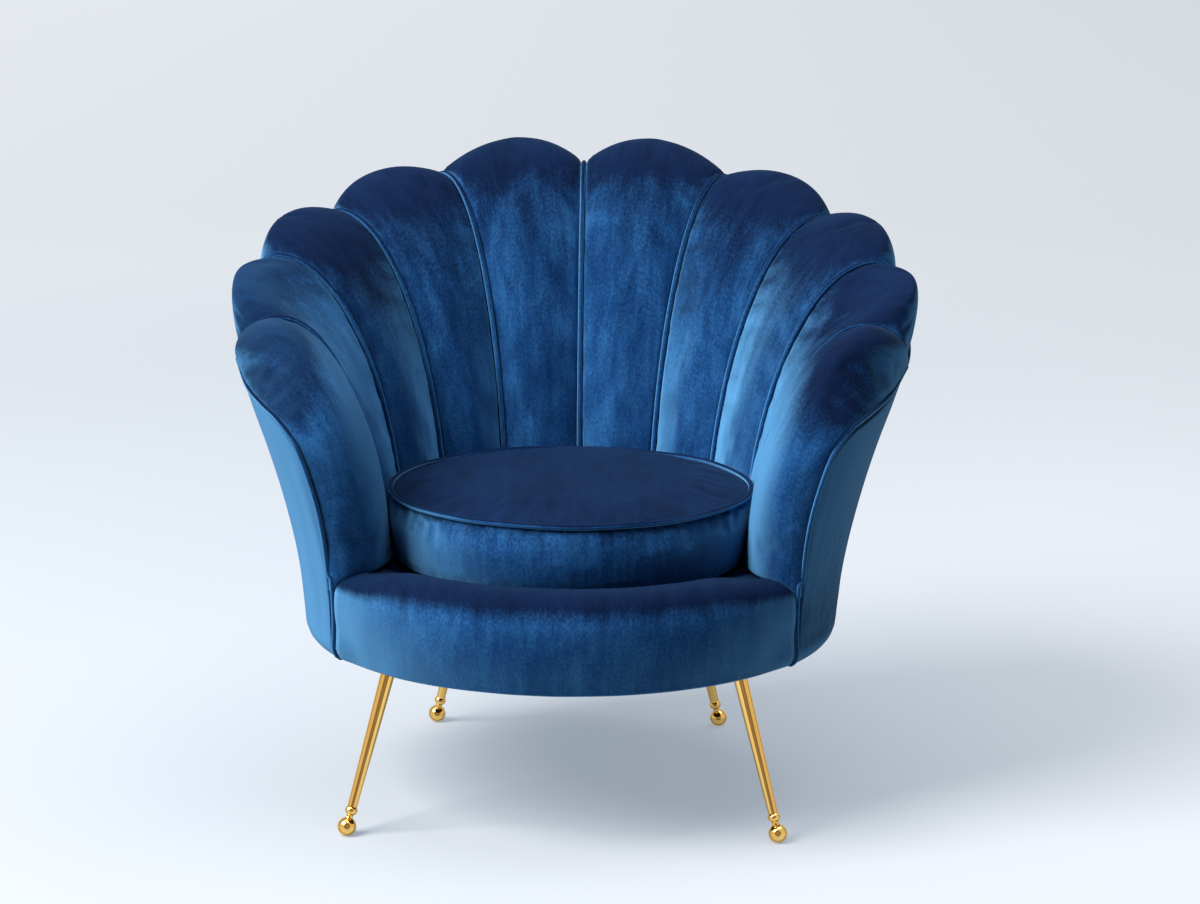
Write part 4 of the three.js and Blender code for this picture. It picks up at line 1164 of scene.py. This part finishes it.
def ring_cord(name, radius):
    """The welt: a cord round the cushion's top seam that closes on itself."""
    line = []
    for k in range(CUSHION_STEPS):
        turn = 2 * math.pi * k / CUSHION_STEPS
        height = WELT_HEIGHT + WELT_WAVE * ripple(3 * turn, 0.4, 6.1)
        x, y = WELT_REACH * math.sin(turn), WELT_REACH * math.cos(turn)
        line.append(Vector((x, y + CUSHION_Y, height)))
    middle = sum(line, Vector()) / len(line)
    step = 2 * math.pi * CUSHION_RADIUS / CUSHION_STEPS
    points, uvs = [], []
    for i, point in enumerate(line):
        out = (point - middle).normalized()
        for k in range(CORD_SIDES):
            turn = 2 * math.pi * k / CORD_SIDES
            points.append(point + (out * math.cos(turn) + UP * math.sin(turn)) * radius)
            uvs.append((turn * radius, i * step))
    return closed_piece(name, points, ring_faces(len(line), CORD_SIDES, closed=True), uvs)


welt = ring_cord("cushion_welt_cord", WELT_RADIUS)
dress(cushion, velvet, "velvet", "seat_cushion", "cushion_top_panel", "cushion_boxing_band",
      "cushion_bottom_panel", fill=0.85)
dress(welt, cord_velvet, "piping", "seat_cushion", "cushion_welt", fill=1)

FOAM_TRIM = 0.004
FOAM_ROUND = 0.004
FOAM_SIDES = 72
foam_low = CUSHION_BOTTOM + FOAM_TRIM
foam_foot = CUSHION_FOOT_RADIUS - FOAM_TRIM
foam_profile = [(0, foam_low), (foam_foot - FOAM_ROUND, foam_low), (foam_foot, foam_low + FOAM_ROUND)]
for i in range(9):
    share = lerp(0.1, 0.93, i / 8)
    foam_profile.append((band_radius(share) - 2 * FOAM_TRIM, lerp(CUSHION_BOTTOM, CUSHION_WELT, share)))
for share in (0.95, 0.88, 0.75, 0.5, 0.25, 0):
    height = CUSHION_WELT + CUSHION_CROWN * (1 - share**CROWN_POWER) - FOAM_TRIM
    foam_profile.append(((CUSHION_RADIUS - 2 * FOAM_TRIM) * share, height))
foam_core = lathe_piece("cushion_foam", foam_profile, FOAM_SIDES, CUSHION_Y)
dress(foam_core, foam, "foam", "seat_cushion", "cushion_foam_core", fill=1)

DECK_SIDES = 144
DECK_LOW = 0.2960
DECK_ROUND = 0.004
DECK_RADIUS = 0.2610
DECK_BULGE = 0.0022
DECK_FLAT_RADIUS = 0.25
DECK_RIM = DECK_TOP - 0.0012
DECK_CROWN = 0.0006
deck_profile = [(0, DECK_LOW), (DECK_RADIUS, DECK_LOW)]
deck_side = (DECK_RADIUS + DECK_BULGE, DECK_LOW + DECK_ROUND)
deck_profile += arc(deck_side, (DECK_RADIUS, DECK_RIM), 8, upright=True)
for share in (1, 0.85, 0.6, 0.3, 0):
    deck_profile.append((DECK_FLAT_RADIUS * share, DECK_RIM + DECK_CROWN * (1 - share * share)))
deck = lathe_piece("deck_pad_velvet", deck_profile, DECK_SIDES)
dress(deck, velvet, "velvet", "chair_body", "deck_pad", fill=0.7)

# Webbing straps over and under each other
STRAP_STEPS = 64
STRAP_COLS = 6
STRAP_WIDE = 0.050
STRAP_THICK = 0.0008
STRAP_PITCH = 0.088
STRAP_REACH = 0.215
STRAP_RISE = 0.00055
STRAP_MIDDLE = 0.2945


def strap_rows(offset, along_x, phase):
    reach = math.sqrt(STRAP_REACH**2 - (abs(offset) + STRAP_WIDE / 2) ** 2)
    overs = [offset + STRAP_WIDE * (k / STRAP_COLS - 0.5) for k in range(STRAP_COLS + 1)]
    top, under = [], []
    for i in range(STRAP_STEPS + 1):
        far = lerp(-reach, reach, i / STRAP_STEPS)
        z = STRAP_MIDDLE + STRAP_RISE * phase * math.cos(math.pi * (far / STRAP_PITCH - 0.5))
        line = [(far, over) if along_x else (over, far) for over in overs]
        top.append([Vector((x, y, z + STRAP_THICK / 2)) for x, y in line])
        under.append([Vector((x, y, z - STRAP_THICK / 2)) for x, y in line])
    return top, under


def join_pieces(name, parts):
    """One object from several, in the place of the first."""
    build = bmesh.new()
    for part in parts:
        build.from_mesh(part.data)
        bpy.data.objects.remove(part)
    return piece_from(build, name)


straps = []
for along_x in (True, False):
    for i, step in enumerate((-1.5, -0.5, 0.5, 1.5)):
        phase = (1 if i % 2 else -1) * (1 if along_x else -1)
        straps.append(slab_piece(f"strap_{along_x}_{i}", *strap_rows(step * STRAP_PITCH, along_x, phase)))
strap_net = join_pieces("seat_webbing_straps", straps)
dress(strap_net, webbing, "webbing", "chair_body", "seat_webbing", fill=1)


# Dust cover: the frame's own cut, stretched and stapled at its rim, with the faintest waves
DUST_STEP = 0.014
DUST_REACH = 0.30
DUST_WAVE = 0.0004


def dust_sheet(name):
    build = bmesh.new()
    build.from_mesh(frame["nodes"]["dust_cover"].data)
    bmesh.ops.remove_doubles(build, verts=build.verts, dist=1e-6)
    for _ in range(5):
        long_edges = [edge for edge in build.edges if edge.calc_length() > DUST_STEP]
        bmesh.ops.subdivide_edges(build, edges=long_edges, cuts=1, use_grid_fill=False)
        bmesh.ops.triangulate(build, faces=[face for face in build.faces if len(face.verts) > 3])
    for vert in build.verts:
        out = math.hypot(vert.co.x, vert.co.y - CENTRE_Y)
        slack = max(1 - (out / DUST_REACH) ** 2, 0)
        vert.co.z += DUST_WAVE * ripple(*(vert.co * 30)) * min(slack * 3, 1)
    return piece_from(build, name)


dust = dust_sheet("dust_cover_cloth")
dress(dust, dust_cloth, "dust_cloth", "chair_body", "dust_cover")


# Brass legs, each turned about its own leaning axis
LEG_SIDES = 48
FRONT_FOOT = (0.2685, -0.2456)
REAR_FOOT = (0.1964, 0.2446)
FRONT_SPLAY = (-0.26, 0.20)
REAR_SPLAY = (-0.235, -0.165)
BALL_RADIUS = 0.012
BALL_FLAT = 0.0008
NECK_RADIUS = 0.0048
NECK_LONG = 0.005
BEAD_RADIUS = 0.008
BEAD_LONG = 0.010
LEG_FOOT_RADIUS = 0.00625
LEG_TOP_RADIUS = 0.0095
TUBE_EDGE = 0.0006
NECK_DIP = 0.0006
BEAD_END_RADIUS = LEG_FOOT_RADIUS - 0.0012
PLATE_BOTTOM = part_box("front_leg_plate_right")[0][2]
TUBE_CUT = PLATE_BOTTOM - 0.0003
NECK_START = math.sqrt(BALL_RADIUS**2 - NECK_RADIUS**2)


def leg_axis(splay):
    return Vector((splay[0], splay[1], 1)).normalized()


def edit_whole(piece):
    """Opens a piece for editing, alone and with all of it selected."""
    for other in bpy.context.selected_objects:
        other.select_set(False)
    piece.select_set(True)
    bpy.context.view_layer.objects.active = piece
    bpy.ops.object.mode_set(mode="EDIT")
    bpy.ops.mesh.select_all(action="SELECT")


def turned_piece(name, profile, foot, splay, cut, keep_above):
    """A piece grown ring by ring from radius and height pairs, leant on its leg and cut level."""
    radius, height = profile[0]
    bpy.ops.mesh.primitive_circle_add(vertices=LEG_SIDES, radius=radius, fill_type="NGON",
                                      location=(0, 0, height))
    piece = bpy.context.object
    piece.name = piece.data.name = name
    bpy.ops.object.transform_apply(location=True)
    edit_whole(piece)
    for next_radius, next_height in profile[1:]:
        bpy.ops.mesh.extrude_region_move(TRANSFORM_OT_translate={"value": (0, 0, next_height - height)})
        grow = next_radius / radius
        bpy.ops.transform.resize(value=(grow, grow, 1), center_override=(0, 0, next_height))
        radius, height = next_radius, next_height
    bpy.ops.mesh.select_all(action="SELECT")
    bpy.ops.mesh.normals_make_consistent(inside=False)
    bpy.ops.object.mode_set(mode="OBJECT")
    turn = UP.rotation_difference(leg_axis(splay)).to_matrix().to_4x4()
    place = Matrix.Translation((foot[0], foot[1] + CENTRE_Y, BALL_RADIUS - BALL_FLAT))
    piece.data.transform(place @ turn)
    edit_whole(piece)
    bpy.ops.mesh.bisect(plane_co=(0, 0, cut), plane_no=UP, use_fill=True,
                        clear_inner=keep_above, clear_outer=not keep_above)
    bpy.ops.object.mode_set(mode="OBJECT")
    bpy.ops.object.shade_smooth_by_angle(angle=math.radians(40))
    return piece


def leg_tube_profile(splay):
    low = NECK_START + NECK_LONG + BEAD_LONG
    high = (PLATE_BOTTOM - BALL_RADIUS + BALL_FLAT) / leg_axis(splay).z + 2 * LEG_TOP_RADIUS
    points = [(LEG_FOOT_RADIUS - TUBE_EDGE, low), (LEG_FOOT_RADIUS, low + TUBE_EDGE)]
    for i in range(1, 9):
        share = i / 8
        points.append((lerp(LEG_FOOT_RADIUS, LEG_TOP_RADIUS, share), lerp(low + TUBE_EDGE, high, share)))
    return points


def ball_foot_profile():
    points = []
    neck_turn = math.asin(NECK_START / BALL_RADIUS)
    for i in range(25):
        turn = lerp(-QUARTER + 0.06, neck_turn, i / 24)
        points.append((BALL_RADIUS * math.cos(turn), BALL_RADIUS * math.sin(turn)))
    for share in (0.15, 0.3, 0.5, 0.7, 0.85):
        dip = math.sin(share * math.pi)
        points.append((NECK_RADIUS - NECK_DIP * dip, NECK_START + NECK_LONG * share))
    low = NECK_START + NECK_LONG
    for i in range(1, 16):
        share = i / 16
        bulge = math.sin(share * math.pi) ** 0.6
        points.append((lerp(BEAD_END_RADIUS, BEAD_RADIUS, bulge), low + share * BEAD_LONG))
    points.append((BEAD_END_RADIUS, low + BEAD_LONG + 0.0004))
    return points


for kind, foot, splay in (("front", FRONT_FOOT, FRONT_SPLAY), ("rear", REAR_FOOT, REAR_SPLAY)):
    tube_profile = leg_tube_profile(splay)
    tube = turned_piece(f"{kind}_leg_brass_right", tube_profile, foot, splay, TUBE_CUT, False)
    ball = turned_piece(f"{kind}_ball_brass_right", ball_foot_profile(), foot, splay, 0.0, True)
    dress_pair(tube, "brass", f"{kind}_leg_tube", brass)
    dress_pair(ball, "brass", f"{kind}_ball_foot", brass)


# Finishes of the frame's own rigid pieces
PLYWOOD_NODES = ("base_board", "seat_board", "front_rail", "back_hoop", "arm_post", "frame_rib")
for node, piece in frame["nodes"].items():
    if node.startswith(PLYWOOD_NODES) or "leg_plate" in node:
        for slot in piece.material_slots:
            slot.material = steel if "leg_plate" in node else plywood


# Plain studio: a floor that fades into pale air, soft lights, and the camera
FLOOR_REACH = 40.0
FLOOR_GLOW = (0.28, 0.335, 0.405)
FLOOR_PAINTED_LIGHT_RIGHT = (0.39, 0.425, 0.465)
AIR_COLOUR = (0.73, 0.765, 0.815)
AIR_PAINTED_LIGHT_LEFT = (0.79, 0.825, 0.875)
AIR_PAINTED_SHADE_RIGHT = (0.65, 0.695, 0.745)


def studio_material():
    material, tree, shader = new_material("studio paper")
    place = object_place(tree)
    cloud = noise_node(tree, place, (0.6, 0.6, 0.6), 2)
    near = ramp(tree, cloud, (0.3, (0.275, 0.280, 0.288)), (0.7, (0.287, 0.292, 0.300)))
    length = add(tree, "VectorMath")
    length.operation = "LENGTH"
    tree.links.new(place, length.inputs[0])
    distance = length.outputs["Value"]
    paper = mixed(tree, eased(tree, distance, 1.2, 5.5), near, (0.0, 0.0, 0.0))
    feed(tree, shader, Base_Color=paper, Roughness=0.9, Specular_IOR_Level=0.0)
    # A soft glow that only the camera and the brass see keeps the floor pale
    path = add(tree, "LightPath").outputs
    seen = math_node(tree, "ADD", path["Is Camera Ray"], path["Is Glossy Ray"], clamp=True)
    across = add(tree, "SeparateXYZ", Vector=place).outputs["X"]
    # Painted light: the glow is stronger to the right, where it lightens the floor and the chair's shadow
    # on it
    glow = mixed(tree, eased(tree, across, -0.5, 1.3), FLOOR_GLOW, FLOOR_PAINTED_LIGHT_RIGHT)
    # Painted light and shade: far off, the glow is paler to the left and darker to the right, as from the
    # lamp at the left
    away = mixed(tree, eased(tree, across, -5.0, 5.0), AIR_PAINTED_LIGHT_LEFT, AIR_PAINTED_SHADE_RIGHT)
    glow = mixed(tree, eased(tree, distance, 1.0, 5.0), glow, away)
    feed(tree, shader, Emission_Color=glow, Emission_Strength=seen)
    return material


floor_build = bmesh.new()
bmesh.ops.create_circle(floor_build, cap_ends=True, segments=64, radius=FLOOR_REACH)
studio = piece_from(floor_build, "studio_floor")
studio.data.materials.append(studio_material())


def area_light(name, place, aim, size, power, colour):
    light = bpy.data.lights.new(name, "AREA")
    light.shape = "RECTANGLE"
    light.size = light.size_y = size
    light.energy = power
    light.color = colour
    lamp = linked(name, light)
    lamp.location = place
    lamp.rotation_euler = (Vector(aim) - Vector(place)).to_track_quat("-Z", "Y").to_euler()


area_light("window_left", (-4.33, -2.50, 5.20), (0, 0, 0.45), 4.0, 1080, (1.0, 0.985, 0.96))
area_light("high_soft", (0.5, 0.4, 3.6), (0.4, 0.3, 0.0), 3.2, 105, (0.95, 0.975, 1.0))

AIR_GLOSS = 0.62
AIR_FILL = 0.105
AIR_SHADE = (0.62, 0.76, 1.0)
AIR_MIRROR = (1.0, 0.95, 0.88)
world = bpy.data.worlds.new("studio air")
SCENE.world = world
world.use_nodes = True
tree = world.node_tree
path = add(tree, "LightPath").outputs
tint = mixed(tree, path["Is Camera Ray"], AIR_SHADE, AIR_COLOUR)
tint = mixed(tree, path["Is Glossy Ray"], tint, AIR_MIRROR)
strength = math_node(tree, "MULTIPLY", path["Is Glossy Ray"], AIR_GLOSS)
strength = math_node(tree, "ADD", strength, AIR_FILL)
strength = math_node(tree, "MAXIMUM", strength, path["Is Camera Ray"])
feed(tree, tree.nodes["Background"], Color=tint, Strength=strength)

# The camera as fitted to the photo: its turn to the left, pitch down and roll, in degrees
CAMERA_TURN = 1.795
CAMERA_PITCH = 12.125
CAMERA_ROLL = 0.364
camera = linked("photo_view", bpy.data.cameras.new("photo_view"))
camera.data.lens = 95.06
camera.data.sensor_width = 36.0
camera.data.sensor_fit = "HORIZONTAL"
camera.data.clip_end = 50.0
camera.location = (0.1620, -4.0 + CENTRE_Y, 1.30)
turn = Matrix.Rotation(math.radians(CAMERA_TURN), 3, "Z")
turn = turn @ Matrix.Rotation(math.radians(90 - CAMERA_PITCH), 3, "X")
turn = turn @ Matrix.Rotation(math.radians(CAMERA_ROLL), 3, "Z")
camera.rotation_euler = turn.to_euler()
SCENE.camera = camera
SCENE.view_settings.view_transform = "Standard"
